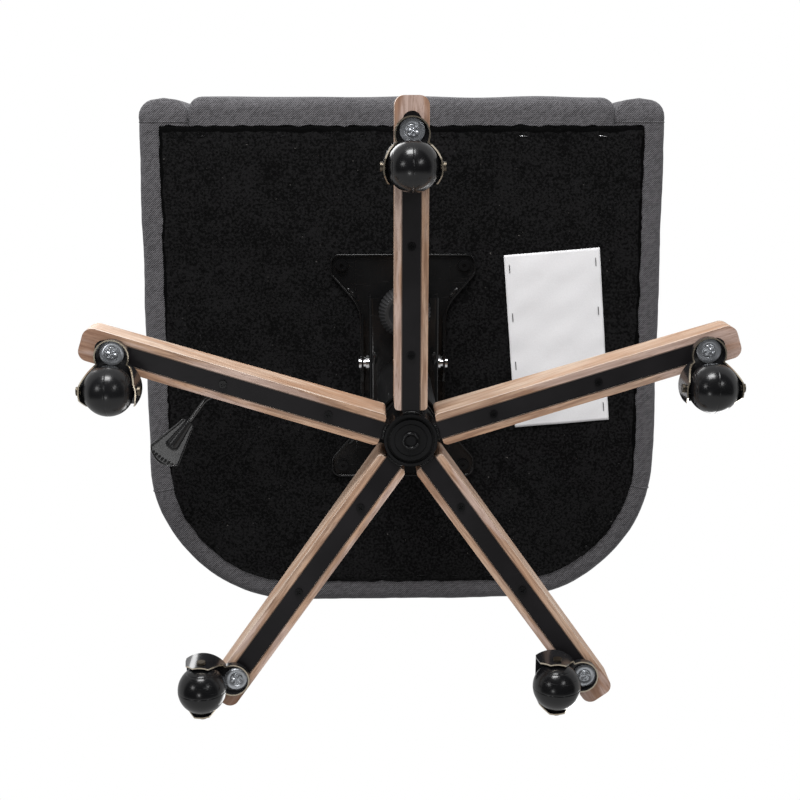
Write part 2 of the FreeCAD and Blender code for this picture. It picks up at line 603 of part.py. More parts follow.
def make_casters():
    """Five hooded ball casters; each wheel trails its stem."""
    trail_turns = {"front": 90, "left": 90, "right": 90, "rear_left": 180, "rear_right": 180}
    # Hood: two upright rounds joined to a keyhole, hollow below, with two cheeks at the axle
    top = "hood_height"
    low = "hood_height - hood_cheek_depth"
    ceiling = "hood_height - hood_sheet"
    outer = fuse("hood_outer",
                 cylinder("hood_stem_round", "hood_stem_radius", low, top, x="hood_stem_offset"),
                 cylinder("hood_wheel_round", "hood_wheel_radius", low, top,
                          x="hood_wheel_offset"))
    inner = fuse("hood_inner",
                 cylinder("hood_stem_hollow", "hood_stem_radius - hood_sheet", low + " - 1",
                          ceiling, x="hood_stem_offset"),
                 cylinder("hood_wheel_hollow", "hood_wheel_radius - hood_sheet", low + " - 1",
                          ceiling, x="hood_wheel_offset"))
    body = new_body("hood_side_cutter")
    side = new_sketch(body, "hood_side", "XZ_Plane")
    rim = "hood_height - hood_rim_depth"
    axle = "wheel_diameter / 2"
    draw_lines(side, [("-hood_length", "-5"),
                      ("-hood_length", rim),
                      ("caster_trail * 0.4", rim),
                      ("caster_trail - 13", axle + " + 2"),
                      ("caster_trail - 8", axle + " - 9"),
                      ("caster_trail + 8", axle + " - 9"),
                      ("hood_length - 2", axle + " + 6"),
                      ("hood_length", rim),
                      ("hood_length", "hood_height + 5"),
                      ("2 * hood_length", "hood_height + 5"),
                      ("2 * hood_length", "-5")])
    pad(body, "hood_side_block", side, "4 * hood_wheel_radius", middle=True)
    stem_hole = cylinder("hood_stem_hole", "stem_diameter / 2 + slide_gap", ceiling + " - 1",
                         top + " + 1")
    axle_hole = cross_cylinder("hood_axle_hole", "caster_axle_diameter / 2",
                               "4 * hood_wheel_radius", Rotation(Vector(1, 0, 0), -90),
                               x="caster_trail", y="-2 * hood_wheel_radius", z=axle)
    hood = cut("hood", outer, inner, body, stem_hole, axle_hole)

    # Axle with its two heads, outside the cheeks
    reach = "(hood_wheel_radius + free_gap)"
    lying = Rotation(Vector(1, 0, 0), -90)
    shaft = cross_cylinder("axle_shaft", "caster_axle_diameter / 2", "2 * " + reach, lying,
                           x="caster_trail", y="-" + reach, z=axle)
    heads = [cross_cylinder("axle_head_%d" % index, "rivet_diameter / 2", "rivet_height", lying,
                            x="caster_trail", y=y, z=axle)
             for index, y in enumerate(("-%s - rivet_height" % reach, reach))]
    pin = fuse("caster_axle", shaft, *heads)

    # Ball wheel: a sphere with flat sides, a groove round its middle and a hub
    ball = doc.addObject("Part::Sphere", "ball")
    bind(ball, Radius="wheel_diameter / 2", Angle1="-asin(wheel_width / wheel_diameter)",
         Angle2="asin(wheel_width / wheel_diameter)")
    ball_hub = cylinder("ball_hub", "caster_axle_diameter / 2 + 2", "-wheel_width / 2 - 1.8",
                        "wheel_width / 2 + 1.8")
    groove = ring("ball_groove", "wheel_diameter / 2 + 1", "wheel_diameter / 2 - wheel_groove",
                  "-wheel_groove / 2", "wheel_groove / 2")
    ball_bore = cylinder("ball_bore", "caster_axle_diameter / 2 + slide_gap", "-wheel_width",
                         "wheel_width")
    wheel = cut("wheel", fuse("ball_blank", ball, ball_hub), groove, ball_bore)

    stems = []
    for name, turn in zip(arm_names, arm_turns):
        angle = math.radians(turn)
        stem_place = Vector(s.caster_circle * math.cos(angle), s.caster_circle * math.sin(angle), 0)
        trail = trail_turns.get(name, 90)
        place = Placement(stem_place, Rotation(Vector(0, 0, 1), trail))
        clone("caster_hood_" + name, hood, place)
        clone("caster_axle_" + name, pin, place)
        in_caster = Placement(Vector(s.caster_trail, 0, s.wheel_diameter / 2),
                              Rotation(Vector(1, 0, 0), 90))
        clone("caster_wheel_" + name, wheel, place.multiply(in_caster))
        stems += make_stem(name, stem_place)
    part(group("stem_group", *stems), "caster_stems")


def make_stem(name, place):
    """Stem with its peened head, and the washer between the head and the hood."""
    ceiling = "hood_height - hood_sheet - free_gap"
    low = ceiling + " - washer_height"
    dome = cylinder(name + "_stem_head", "stem_head_diameter / 2",
                    low + " - stem_head_height", low)
    shaft = cylinder(name + "_stem_shaft", "stem_diameter / 2", low, low + " + stem_length")
    dimples = []
    for index in range(5):
        angle = 2 * math.pi * index / 5
        dimple = doc.addObject("Part::Sphere", "%s_dimple_%d" % (name, index))
        bind(dimple, Radius="stem_head_diameter * 0.13")
        seat_at(dimple, "stem_head_diameter * %.4f" % (0.28 * math.cos(angle)),
                "stem_head_diameter * %.4f" % (0.28 * math.sin(angle)),
                low + " - stem_head_height - 0.4")
        dimples.append(dimple)
    stem = cut(name + "_stem", fuse(name + "_stem_blank", dome, shaft), *dimples)
    stem.Placement = Placement(place, Rotation())
    washer = ring(name + "_washer", "washer_diameter / 2", "stem_diameter / 2", low, ceiling)
    washer.Placement = Placement(place, Rotation())
    return [stem, washer]


# The seat's own frame: its origin is under the seat board, and it is pitched up to the front
seat_frame = Placement(Vector(0, 0, s.seat_height), Rotation(Vector(1, 0, 0), -s.seat_pitch))
axle_place = seat_frame.multVec(Vector(0, s.axle_back, -s.axle_drop))


def on_seat(item, label):
    """Put a piece that was made in the seat's frame where the seat is."""
    item.Placement = seat_frame.multiply(item.Placement)
    return part(item, label)


def make_housing():
    """Tilt housing: a channel with a socket for the gas cylinder and a slot for the bolt."""
    body = new_body("tilt_housing")
    side = new_sketch(body, "housing_side", "YZ_Plane")
    wall_top = "seat_height - 9"
    draw_lines(side, [("housing_front", housing_floor),
                      ("housing_rear", housing_floor),
                      ("housing_rear", "seat_height - 31"),
                      ("axle_back + 4", wall_top),
                      ("housing_front", wall_top)])
    solid = pad(body, "housing_block", side, "housing_width", middle=True)
    floor_z = s.seat_height - s.housing_drop
    round_edges(body, "housing_bends", solid, "housing_bend",
                lambda edge: runs_along_y(edge) and abs(edge.BoundBox.ZMax - floor_z) < 0.1)
    hollow = new_sketch(body, "housing_hollow_side", "YZ_Plane")
    draw_lines(hollow, [("housing_front - 5", housing_floor + " + housing_sheet"),
                        ("housing_rear + 5", housing_floor + " + housing_sheet"),
                        ("housing_rear + 5", "seat_height + 5"),
                        ("housing_front - 5", "seat_height + 5")])
    channel = pocket(body, "housing_hollow", hollow, "housing_width - 2 * housing_sheet")
    inner_z = floor_z + s.housing_sheet
    round_edges(body, "hollow_bends", channel, "housing_bend - housing_sheet",
                lambda edge: runs_along_y(edge) and abs(edge.BoundBox.ZMax - inner_z) < 0.1)
    socket = new_sketch(body, "housing_boss_round", "XY_Plane", housing_floor + " - boss_below")
    draw_circle(socket, "boss_diameter / 2", "0", "0")
    pad(body, "housing_boss", socket, "boss_below + boss_above")
    bore = new_sketch(body, "housing_bore_round", "XY_Plane")
    draw_circle(bore, "cylinder_diameter / 2", "0", "0")
    pocket(body, "housing_bore", bore, "4 * seat_height")
    slot = new_sketch(body, "bolt_slot_outline", "XY_Plane")
    half = "(bolt_diameter / 2 + 2)"
    slot_rear = "knob_back + bolt_diameter + 2"
    draw_lines(slot, [("-" + half, "housing_front - 5"), (half, "housing_front - 5"),
                      (half, slot_rear), ("-" + half, slot_rear)])
    pocket(body, "bolt_slot", slot, "4 * seat_height")
    holes = new_sketch(body, "axle_round", "YZ_Plane")
    index = holes.addGeometry(Part.Circle(Vector(axle_place.y, axle_place.z, 0),
                                          Vector(0, 0, 1), s.axle_diameter / 2))
    holes.addConstraint(Sketcher.Constraint("DistanceX", -1, 1, index, 3, axle_place.y))
    holes.addConstraint(Sketcher.Constraint("DistanceY", -1, 1, index, 3, axle_place.z))
    datum = holes.addConstraint(Sketcher.Constraint("Radius", index, s.axle_diameter / 2))
    holes.setExpression("Constraints[%d]" % datum, formula("axle_diameter / 2"))
    pocket(body, "axle_holes", holes, "2 * housing_width")
    window = new_sketch(body, "lever_window_round", "YZ_Plane", "lever_pivot_x - 12")
    draw_circle(window, "lever_diameter / 2 + 3.5", "lever_pivot_y",
                boss_top + " + pin_height + free_gap + lever_diameter / 2 - 1")
    pocket(body, "lever_window", window, "housing_sheet + 12")
    part(body, "tilt_housing")

    lying = Rotation(Vector(0, 1, 0), 90)
    spread = "(flange_spread / 2 + plate_sheet + free_gap)"
    shaft = cross_cylinder("tilt_axle_shaft", "axle_diameter / 2", "2 * " + spread, lying,
                           x="-" + spread)
    heads = [cross_cylinder("tilt_axle_head_%d" % index, "axle_head_diameter / 2",
                            "axle_head_height", lying, x=x)
             for index, x in enumerate(("-%s - axle_head_height" % spread, spread))]
    spacers = [cross_cylinder("tilt_axle_spacer_%d" % index, "axle_head_diameter / 2",
                              "axle_spacer", lying, x=x)
               for index, x in enumerate(("-housing_width / 2 - axle_spacer",
                                          "housing_width / 2"))]
    axle = fuse("tilt_axle_blank", shaft, *heads, *spacers)
    axle.Placement = Placement(Vector(0, axle_place.y, axle_place.z), Rotation())
    part(axle, "tilt_axle")


def make_seat_plate():
    """Butterfly plate with a turned-down rim, two flanges for the axle and four bolts."""
    body = new_body("plate_body")
    outline = new_sketch(body, "plate_outline", "XY_Plane",
                         "-cloth_thickness - plate_sheet - plate_rim")
    ear_x = "(plate_hole_width / 2 + plate_ear)"
    front = "(plate_center - plate_hole_depth / 2 - plate_ear)"
    rear = "(plate_center + plate_hole_depth / 2 + plate_ear)"
    ear = "1.7 * plate_ear"
    slope = "(%s - plate_waist / 2) * 1.15" % ear_x
    right = [(ear_x, front), (ear_x, front + " + " + ear),
             ("plate_waist / 2", "%s + %s + %s" % (front, ear, slope)),
             ("plate_waist / 2", "%s - %s - %s" % (rear, ear, slope)),
             (ear_x, rear + " - " + ear), (ear_x, rear)]
    left = [("-(%s)" % x, y) for x, y in reversed(right)]
    draw_lines(outline, right + left)
    blank = pad(body, "plate_blank", outline, "plate_sheet + plate_rim")
    waist = s.plate_waist / 2 + 1
    corners = round_edges(body, "plate_corners", blank, "plate_ear * 0.8",
                          lambda edge: upright(edge) and abs(edge.BoundBox.XMin) > waist)
    hourglass = round_edges(body, "plate_waist_round", corners, "plate_waist * 0.4",
                            lambda edge: upright(edge)
                            and abs(abs(edge.BoundBox.XMin) - waist + 1) < 0.1)
    doc.recompute()
    pan = body.newObject("PartDesign::Thickness", "plate_pan")
    low = s.cloth_thickness + s.plate_sheet + s.plate_rim
    faces = ["Face%d" % index for index, face in enumerate(hourglass.Shape.Faces, 1)
             if abs(face.BoundBox.ZMax + low) < 0.01]
    pan.Base = (hourglass, faces)
    pan.Mode = 0
    pan.Reversed = True
    bind(pan, Value="plate_sheet")
    round_edges(body, "rim_round", pan, "plate_sheet * 0.4",
                lambda edge: abs(edge.BoundBox.ZMax + low) < 0.01)
    flange = new_sketch(body, "flange_side", "YZ_Plane")
    high = "-cloth_thickness - plate_sheet / 2"
    draw_lines(flange, [("axle_back - flange_length / 2", high),
                        ("axle_back + flange_length / 2", high),
                        ("axle_back + flange_length / 2", "-flange_depth"),
                        ("axle_back + flange_length / 5", "-flange_depth"),
                        ("axle_back + flange_length / 10", "-axle_drop - flange_below_axle"),
                        ("axle_back - flange_length / 10", "-axle_drop - flange_below_axle"),
                        ("axle_back - flange_length / 2", "-flange_depth")])
    pad(body, "flanges", flange, "flange_spread + 2 * plate_sheet", middle=True)
    between = new_sketch(body, "flange_gap_side", "YZ_Plane")
    under = "-cloth_thickness - plate_sheet"
    lowest = "-axle_drop - 2 * flange_below_axle"
    draw_lines(between, [("axle_back - flange_length", under), ("axle_back + flange_length", under),
                         ("axle_back + flange_length", lowest),
                         ("axle_back - flange_length", lowest)])
    pocket(body, "flange_gap", between, "flange_spread")
    hinge = new_sketch(body, "flange_round", "YZ_Plane")
    draw_circle(hinge, "axle_diameter / 2 + slide_gap", "axle_back", "-axle_drop")
    pocket(body, "flange_holes", hinge, "4 * flange_spread")
    holes = new_sketch(body, "plate_rounds", "XY_Plane")
    for x in ("-plate_hole_width / 2", "plate_hole_width / 2"):
        for y in ("plate_center - plate_hole_depth / 2", "plate_center + plate_hole_depth / 2"):
            draw_circle(holes, "plate_bolt_diameter / 2", x, y)
    pocket(body, "plate_holes", holes, "10 * (plate_sheet + plate_rim)")
    on_seat(body, "seat_plate")
    on_seat(group("plate_bolt_group", *[make_plate_bolt(index, x, y) for index, (x, y)
                                        in enumerate(plate_bolt_places())]), "plate_bolts")


def plate_bolt_places():
    return [(side + "plate_hole_width / 2", "plate_center %s plate_hole_depth / 2" % end)
            for side in ("-", "+") for end in ("-", "+")]


def make_plate_bolt(index, x, y):
    name = "plate_bolt_%d" % index
    seat = "-cloth_thickness - plate_sheet"
    washer_low = seat + " - plate_washer_sheet"
    head_low = washer_low + " - plate_bolt_head_height"
    parts_of_bolt = [
        cylinder(name + "_shank", "plate_bolt_diameter / 2", seat, "board_thickness - 2"),
        cylinder(name + "_washer", "plate_bolt_head / 2 + 2", washer_low, seat),
        cylinder(name + "_head", "plate_bolt_head / 2", head_low, washer_low),
    ]
    socket = cylinder(name + "_socket", "plate_bolt_diameter * 0.4", head_low + " - 1",
                      head_low + " + plate_bolt_head_height * 0.6")
    bolt = cut(name, fuse(name + "_blank", *parts_of_bolt), socket)
    seat_at(bolt, x, y)
    return bolt


def make_tension():
    """Bolt under the plate, spring round it, and the ribbed knob that turns on it."""
    knob_top = "-knob_drop"
    under = "-cloth_thickness - plate_sheet"
    bolt = fuse("bolt", cylinder("bolt_shaft", "bolt_diameter / 2",
                                 knob_top + " - knob_height + 6", under, y="knob_back"),
                cylinder("bolt_head", "bolt_diameter * 0.9", under + " - 5", under,
                         y="knob_back"))
    on_seat(bolt, "tension_bolt")
    make_spring()

    body = new_body("knob_body")
    low = new_sketch(body, "knob_low", "XY_Plane", "-knob_height")
    draw_circle(low, "knob_diameter * 0.39", "0", "0")
    middle = new_sketch(body, "knob_middle", "XY_Plane", "-knob_height * 0.45")
    draw_circle(middle, "knob_diameter / 2", "0", "0")
    loft = body.newObject("PartDesign::AdditiveLoft", "knob_cone")
    loft.Profile = low
    loft.Sections = [middle]
    pad(body, "knob_rim", middle, "knob_height * 0.45")
    flute = new_sketch(body, "flute_round", "XY_Plane", "-knob_height / 2")
    draw_circle(flute, "knob_diameter * 0.7 / knob_rib_count", "knob_diameter / 2", "0")
    cutter = pocket(body, "flute", flute, "2 * knob_height")
    pattern = body.newObject("PartDesign::PolarPattern", "flutes")
    pattern.Originals = [cutter]
    pattern.Axis = (plane(body, "Z_Axis"), [""])
    pattern.Angle = 360
    pattern.Occurrences = int(s.knob_rib_count)
    body.Tip = pattern
    bore = new_sketch(body, "knob_bore_round", "XY_Plane")
    draw_circle(bore, "bolt_diameter / 2 + slide_gap", "0", "0")
    pocket(body, "knob_bore", bore, "2 * (knob_height - 5)")
    dish = new_sketch(body, "knob_dish_round", "XY_Plane", "-knob_height")
    draw_circle(dish, "knob_diameter * 0.3", "0", "0")
    pocket(body, "knob_dish", dish, "knob_height * 0.15")
    body.Placement = Placement(Vector(0, s.knob_back, -s.knob_drop), Rotation())
    on_seat(body, "tension_knob")


# Edges and wires of the pieces that are shaped directly
def arc(first, middle, last):
    return Part.Arc(first, middle, last).toShape()


def line(first, last):
    return Part.LineSegment(first, last).toShape()


def arc_at(corner, first, last):
    """Arc that leaves first and meets last along the lines from both to the corner."""
    into = (first - corner).normalize()
    out = (last - corner).normalize()
    half = into.getAngle(out) / 2
    radius = (first - corner).Length * math.tan(half)
    middle = corner + (into + out).normalize() * (radius / math.sin(half) - radius)
    return Part.Arc(first, middle, last).toShape()


def helix_spot(radius, rise, turn):
    """Point and direction on a helix; rise is its height per radian."""
    point = Vector(radius * math.cos(turn), radius * math.sin(turn), rise * turn)
    direction = Vector(-radius * math.sin(turn), radius * math.cos(turn), rise).normalize()
    return point, direction


def make_spring():
    """Open coil spring: a pipe on pairs of arcs, a quarter turn to each pair."""
    radius = (s.spring_diameter - s.spring_wire) / 2
    rise = (s.spring_length - s.spring_wire) / (2 * math.pi * s.spring_turns)
    steps = max(4, round(4 * s.spring_turns))
    turns = [2 * math.pi * s.spring_turns * index / steps for index in range(steps + 1)]
    edges = []
    for before, after in zip(turns, turns[1:]):
        first, leaving = helix_spot(radius, rise, before)
        last, arriving = helix_spot(radius, rise, after)
        chord = last - first
        both = leaving + arriving
        spare = 2 * (1 - leaving.dot(arriving))
        share = chord.dot(both)
        reach = (math.sqrt(share * share + spare * chord.dot(chord)) - share) / spare
        corners = first + leaving * reach, last - arriving * reach
        joint = (corners[0] + corners[1]) / 2
        edges += [arc_at(corners[0], first, joint), arc_at(corners[1], joint, last)]
    start, direction = helix_spot(radius, rise, 0)
    profile = Part.Wire([Part.Circle(start, direction, s.spring_wire / 2).toShape()])
    spring = doc.addObject("Part::Feature", "spring")
    spring.Shape = Part.Wire(edges).makePipeShell([profile], True, False)
    spring.Placement = Placement(Vector(0, s.knob_back, -s.knob_drop + s.free_gap
                                        + s.spring_wire / 2), Rotation())
    on_seat(spring, "tilt_spring")

    samples = [helix_spot(radius, rise, math.radians(10 * index))[0]
               for index in range(int(36 * s.spring_turns) + 1)]
    gap = min((samples[near] - samples[far]).Length
              for near in range(len(samples)) for far in range(near + 18, len(samples)))
    print("least gap between the spring's turns: %.2f mm" % (gap - s.spring_wire))


def lever_height():
    """Height of the lever rod where it passes over the release pin."""
    top = s.seat_height - s.housing_drop + s.boss_above + s.pin_height
    return top + s.free_gap + s.lever_diameter / 2


def rounded_path(points, radii):
    """Straight runs joined by tangent arcs at the inner points."""
    edges = []
    start = points[0]
    for before, corner, after, radius in zip(points, points[1:], points[2:], radii):
        into = (before - corner).normalize()
        out = (after - corner).normalize()
        reach = radius / math.tan(into.getAngle(out) / 2)
        first = corner + into * reach
        last = corner + out * reach
        edges.append(Part.LineSegment(start, first).toShape())
        edges.append(arc_at(corner, first, last))
        start = last
    edges.append(Part.LineSegment(start, points[-1]).toShape())
    return Part.Wire(edges)


def make_lever():
    """Lever rod from over the release pin to the paddle, on a sleeve that turns on its pin."""
    height = lever_height()
    pivot = Vector(s.lever_pivot_x, s.lever_pivot_y, height)
    points = [Vector(0, s.lever_overhang, height), pivot,
              Vector(s.lever_bend_x, s.lever_bend_y, s.lever_bend_z),
              Vector(s.paddle_x, s.paddle_y, s.paddle_z)]
    direction = (points[3] - points[2]).normalize()
    points[3] = points[3] + direction * s.paddle_length * 0.25
    path = rounded_path(points, [s.lever_pivot_bend, s.lever_tip_bend])
    start = Part.Wire([Part.Circle(points[0], (points[1] - points[0]).normalize(),
                                   s.lever_diameter / 2).toShape()])
    rod = path.makePipeShell([start], True, False)
    sleeve_radius = s.lever_pin_diameter / 2 + s.slide_gap
    half = s.lever_sleeve_length / 2
    along = Vector(0, 1, 0)
    foot = pivot - along * half
    sleeve = Part.makeCylinder(sleeve_radius + s.lever_sleeve_wall, 2 * half, foot, along)
    bore = Part.makeCylinder(sleeve_radius, 4 * half, foot - along * half, along)
    lever = doc.addObject("Part::Feature", "lever_rod")
    lever.Shape = rod.fuse(sleeve).cut(bore).removeSplitter()
    part(lever, "lever_rod")

    # Bracket: two ears on the housing's floor, and the pin through them
    floor = s.seat_height - s.housing_drop + s.housing_sheet
    ears = []
    for side in (-1, 1):
        near = s.lever_pivot_y + side * (half + s.free_gap)
        far = near + side * s.bracket_sheet
        ear = Part.makeBox(s.bracket_width, s.bracket_sheet, height + 4 - floor,
                           Vector(s.lever_pivot_x - s.bracket_width / 2, min(near, far), floor))
        ears.append(ear)
    overhang = half + s.bracket_sheet + 1
    pin = Part.makeCylinder(s.lever_pin_diameter / 2, 2 * overhang, pivot - along * overhang,
                            along)
    bracket = doc.addObject("Part::Feature", "lever_bracket")
    bracket.Shape = ears[0].fuse([ears[1], pin]).removeSplitter()
    part(bracket, "lever_bracket")
    make_paddle()


def make_paddle():
    """Flat paddle that widens to a curved tip, with a cone that holds the rod."""
    length = s.paddle_length
    straight = length - s.paddle_bow
    tip = s.paddle_width / 2
    root = s.paddle_root_width / 2
    shoulder = s.paddle_shoulder
    edges = [
        arc(Vector(0, -root * 0.6, 0), Vector(-shoulder * 0.3, 0, 0), Vector(0, root * 0.6, 0)),
        arc(Vector(0, root * 0.6, 0), Vector(shoulder * 0.25, root * 0.93, 0),
            Vector(shoulder, root, 0)),
        line(Vector(shoulder, root, 0), Vector(straight, tip, 0)),
        arc(Vector(straight, tip, 0), Vector(length, 0, 0), Vector(straight, -tip, 0)),
        line(Vector(straight, -tip, 0), Vector(shoulder, -root, 0)),
        arc(Vector(shoulder, -root, 0), Vector(shoulder * 0.25, -root * 0.93, 0),
            Vector(0, -root * 0.6, 0)),
    ]
    thickness = s.paddle_sheet
    plate = Part.Face(Part.Wire(edges)).extrude(Vector(0, 0, thickness))
    plate.translate(Vector(0, 0, -thickness / 2))
    thin = s.lever_diameter / 2 + s.paddle_sheet * 0.4
    cone = Part.makeCone(thin, s.lever_diameter / 2 + s.paddle_sheet * 1.5, length * 0.62,
                         Vector(-3, 0, 0), Vector(1, 0, 0))
    top = Part.makeBox(length * 2, tip * 4, tip * 2, Vector(-length / 2, -tip * 2, thickness / 2))
    ridges = []
    ridge_count = 9
    for index in range(ridge_count):
        share = 2 * index / (ridge_count - 1) - 1
        angle = math.radians(32 * share)
        centre = Vector(length - 3 - (s.paddle_bow - 1) * share ** 2, 0.8 * tip * share,
                        -thickness / 2)
        ridges.append(Part.makeCylinder(s.paddle_ridge / 2, s.paddle_ridge_length, centre,
                                        Vector(-math.cos(angle), -math.sin(angle), 0)))
    hole = Part.makeCylinder(s.lever_diameter / 2, length * 0.25 + 6, Vector(-6, 0, 0),
                             Vector(1, 0, 0))
    paddle = doc.addObject("Part::Feature", "lever_paddle")
    bend = Vector(s.lever_bend_x, s.lever_bend_y, s.lever_bend_z)
    start = Vector(s.paddle_x, s.paddle_y, s.paddle_z)
    run = (start - bend).normalize()
    paddle.Shape = plate.fuse([cone.cut(top)] + ridges).cut(hole).removeSplitter()
    flat = Rotation(Vector(1, 0, 0), Vector(run.x, run.y, 0))
    tilt = Rotation(Vector(run.x, run.y, 0), run)
    paddle.Placement = Placement(start, tilt.multiply(flat))
    part(paddle, "lever_paddle")


# Soft pieces, in the seat's frame
def wall_section(height, lean, inset, place):
    """Section of an arm or the back: x is outward, y is up; round foot outside, round top."""
    half = s.wall_thickness / 2 - inset
    foot = s.wall_foot_radius
    crown = min(s.wall_top_radius - inset / 2, half - 2)
    top = height - inset
    bend = 1 - math.sqrt(0.5)

    def spot(across, up):
        return place.multVec(Vector(across + lean * up, 0, up))

    points = [spot(-half, 0), spot(half - foot, 0), spot(half - foot * bend, foot * bend),
              spot(half, foot), spot(half, top - crown), spot(half - crown * bend, top - crown * bend),
              spot(half - crown, top), spot(crown - half, top),
              spot(crown * bend - half, top - crown * bend), spot(-half, top - crown)]
    edges = [line(points[0], points[1]), arc(points[1], points[2], points[3]),
             line(points[3], points[4]), arc(points[4], points[5], points[6]),
             line(points[6], points[7]), arc(points[7], points[8], points[9]),
             line(points[9], points[0])]
    return Part.Wire(edges)


def ruled_solid(wires):
    return Part.makeLoft(wires, True, True)


def smooth_step(share):
    return share * share * (3 - 2 * share)


corner_y = s.body_rear - s.body_corner
middle_x = s.body_width / 2 - s.wall_thickness / 2


def front_insets():
    """Distance from the front face and how far the section is drawn in there."""
    stations = []
    for index in range(5):
        turn = math.pi / 2 * index / 4
        stations.append((s.front_round * (1 - math.sin(turn)),
                         s.front_round * 0.8 * (1 - math.cos(turn))))
    return sorted(stations)


def make_arm_rest(label, side):
    """Straight arm with a soft front, from the front to where the back begins."""
    across = Rotation(Vector(0, 0, 1), 0 if side > 0 else 180)
    wires = []
    stations = [(s.body_front + depth, inset) for depth, inset in front_insets()]
    stations += [(corner_y - s.soft_gap, 0)]
    for y, inset in stations:
        place = Placement(Vector(side * middle_x, y, 0), across)
        wires.append(wall_section(s.arm_top, 0, inset, place))
    item = doc.addObject("Part::Feature", label)
    item.Shape = ruled_solid(wires)
    on_seat(item, label)


# Stations of the back in each rear corner, and how far a straight facet cuts into the round
corner_steps = 8
corner_sag = (s.body_corner - s.wall_thickness) * (1 - math.cos(math.pi / 4 / corner_steps))


def make_back():
    """The back runs round the rear corners and rises from the arms to its full height."""
    steps = corner_steps
    radius = s.body_corner - s.wall_thickness / 2
    corner_x = s.body_width / 2 - s.body_corner
    wires = []
    stations = [(side, index) for side, order in ((1, range(steps + 1)),
                                                  (-1, range(steps, -1, -1))) for index in order]
    for side, index in stations:
        share = smooth_step(index / steps)
        turn = math.pi / 2 * index / steps
        height = s.arm_top + (s.back_top - s.arm_top) * share
        outward = math.degrees(turn) if side > 0 else 180 - math.degrees(turn)
        place = Placement(Vector(side * (corner_x + radius * math.cos(turn)),
                                 corner_y + radius * math.sin(turn), 0),
                          Rotation(Vector(0, 0, 1), outward))
        wires.append(wall_section(height, s.back_lean * share, 0, place))
    item = doc.addObject("Part::Feature", "back_rest")
    item.Shape = ruled_solid(wires)
    on_seat(item, "back_rest")


def soft_ring(half_width, front, rear, front_round, rear_round, height, inset, pull):
    """Outline with round corners; each side is a shallow arc, drawn in by pull."""
    half = half_width - inset
    near = front + inset
    far = rear - inset
    small = max(front_round - inset / 3, 4)
    large = max(rear_round - inset / 3, 4)
    bend = 1 - math.sqrt(0.5)
    middle = (near + small + far - large) / 2

    def spot(x, y):
        return Vector(x, y, height)

    if not pull:
        sides = [line(spot(small - half, near), spot(half - small, near)),
                 line(spot(half, near + small), spot(half, far - large)),
                 line(spot(half - large, far), spot(large - half, far)),
                 line(spot(-half, far - large), spot(-half, near + small))]
    else:
        sides = [arc(spot(small - half, near), spot(0, near + pull), spot(half - small, near)),
                 arc(spot(half, near + small), spot(half - pull, middle), spot(half, far - large)),
                 arc(spot(half - large, far), spot(0, far - pull), spot(large - half, far)),
                 arc(spot(-half, far - large), spot(pull - half, middle),
                     spot(-half, near + small))]
    corners = [arc(spot(half - small, near), spot(half - small * bend, near + small * bend),
                   spot(half, near + small)),
               arc(spot(half, far - large), spot(half - large * bend, far - large * bend),
                   spot(half - large, far)),
               arc(spot(large - half, far), spot(large * bend - half, far - large * bend),
                   spot(-half, far - large)),
               arc(spot(-half, near + small), spot(small * bend - half, near + small * bend),
                   spot(small - half, near))]
    edges = []
    for side, corner in zip(sides, corners):
        edges += [side, corner]
    return Part.Wire(edges)


def cushion_rings(outline, low, high, edge_round, crown, pull):
    """Rings of a cushion, from its flat underside over its round edge up to its crown."""
    shelf = high - crown
    levels = [(low, edge_round * 0.6), (low + edge_round * 0.35, edge_round * 0.15),
              (low + edge_round, 0), (shelf - edge_round, 0),
              (shelf - edge_round * 0.3, edge_round * 0.3), (shelf, edge_round),
              (shelf + crown * 0.45, edge_round + s.cushion_crown_run * 0.27),
              (shelf + crown * 0.85, edge_round + s.cushion_crown_run * 0.68),
              (high, edge_round + s.cushion_crown_run)]
    return [soft_ring(*outline, level, inset, pull) for level, inset in levels]


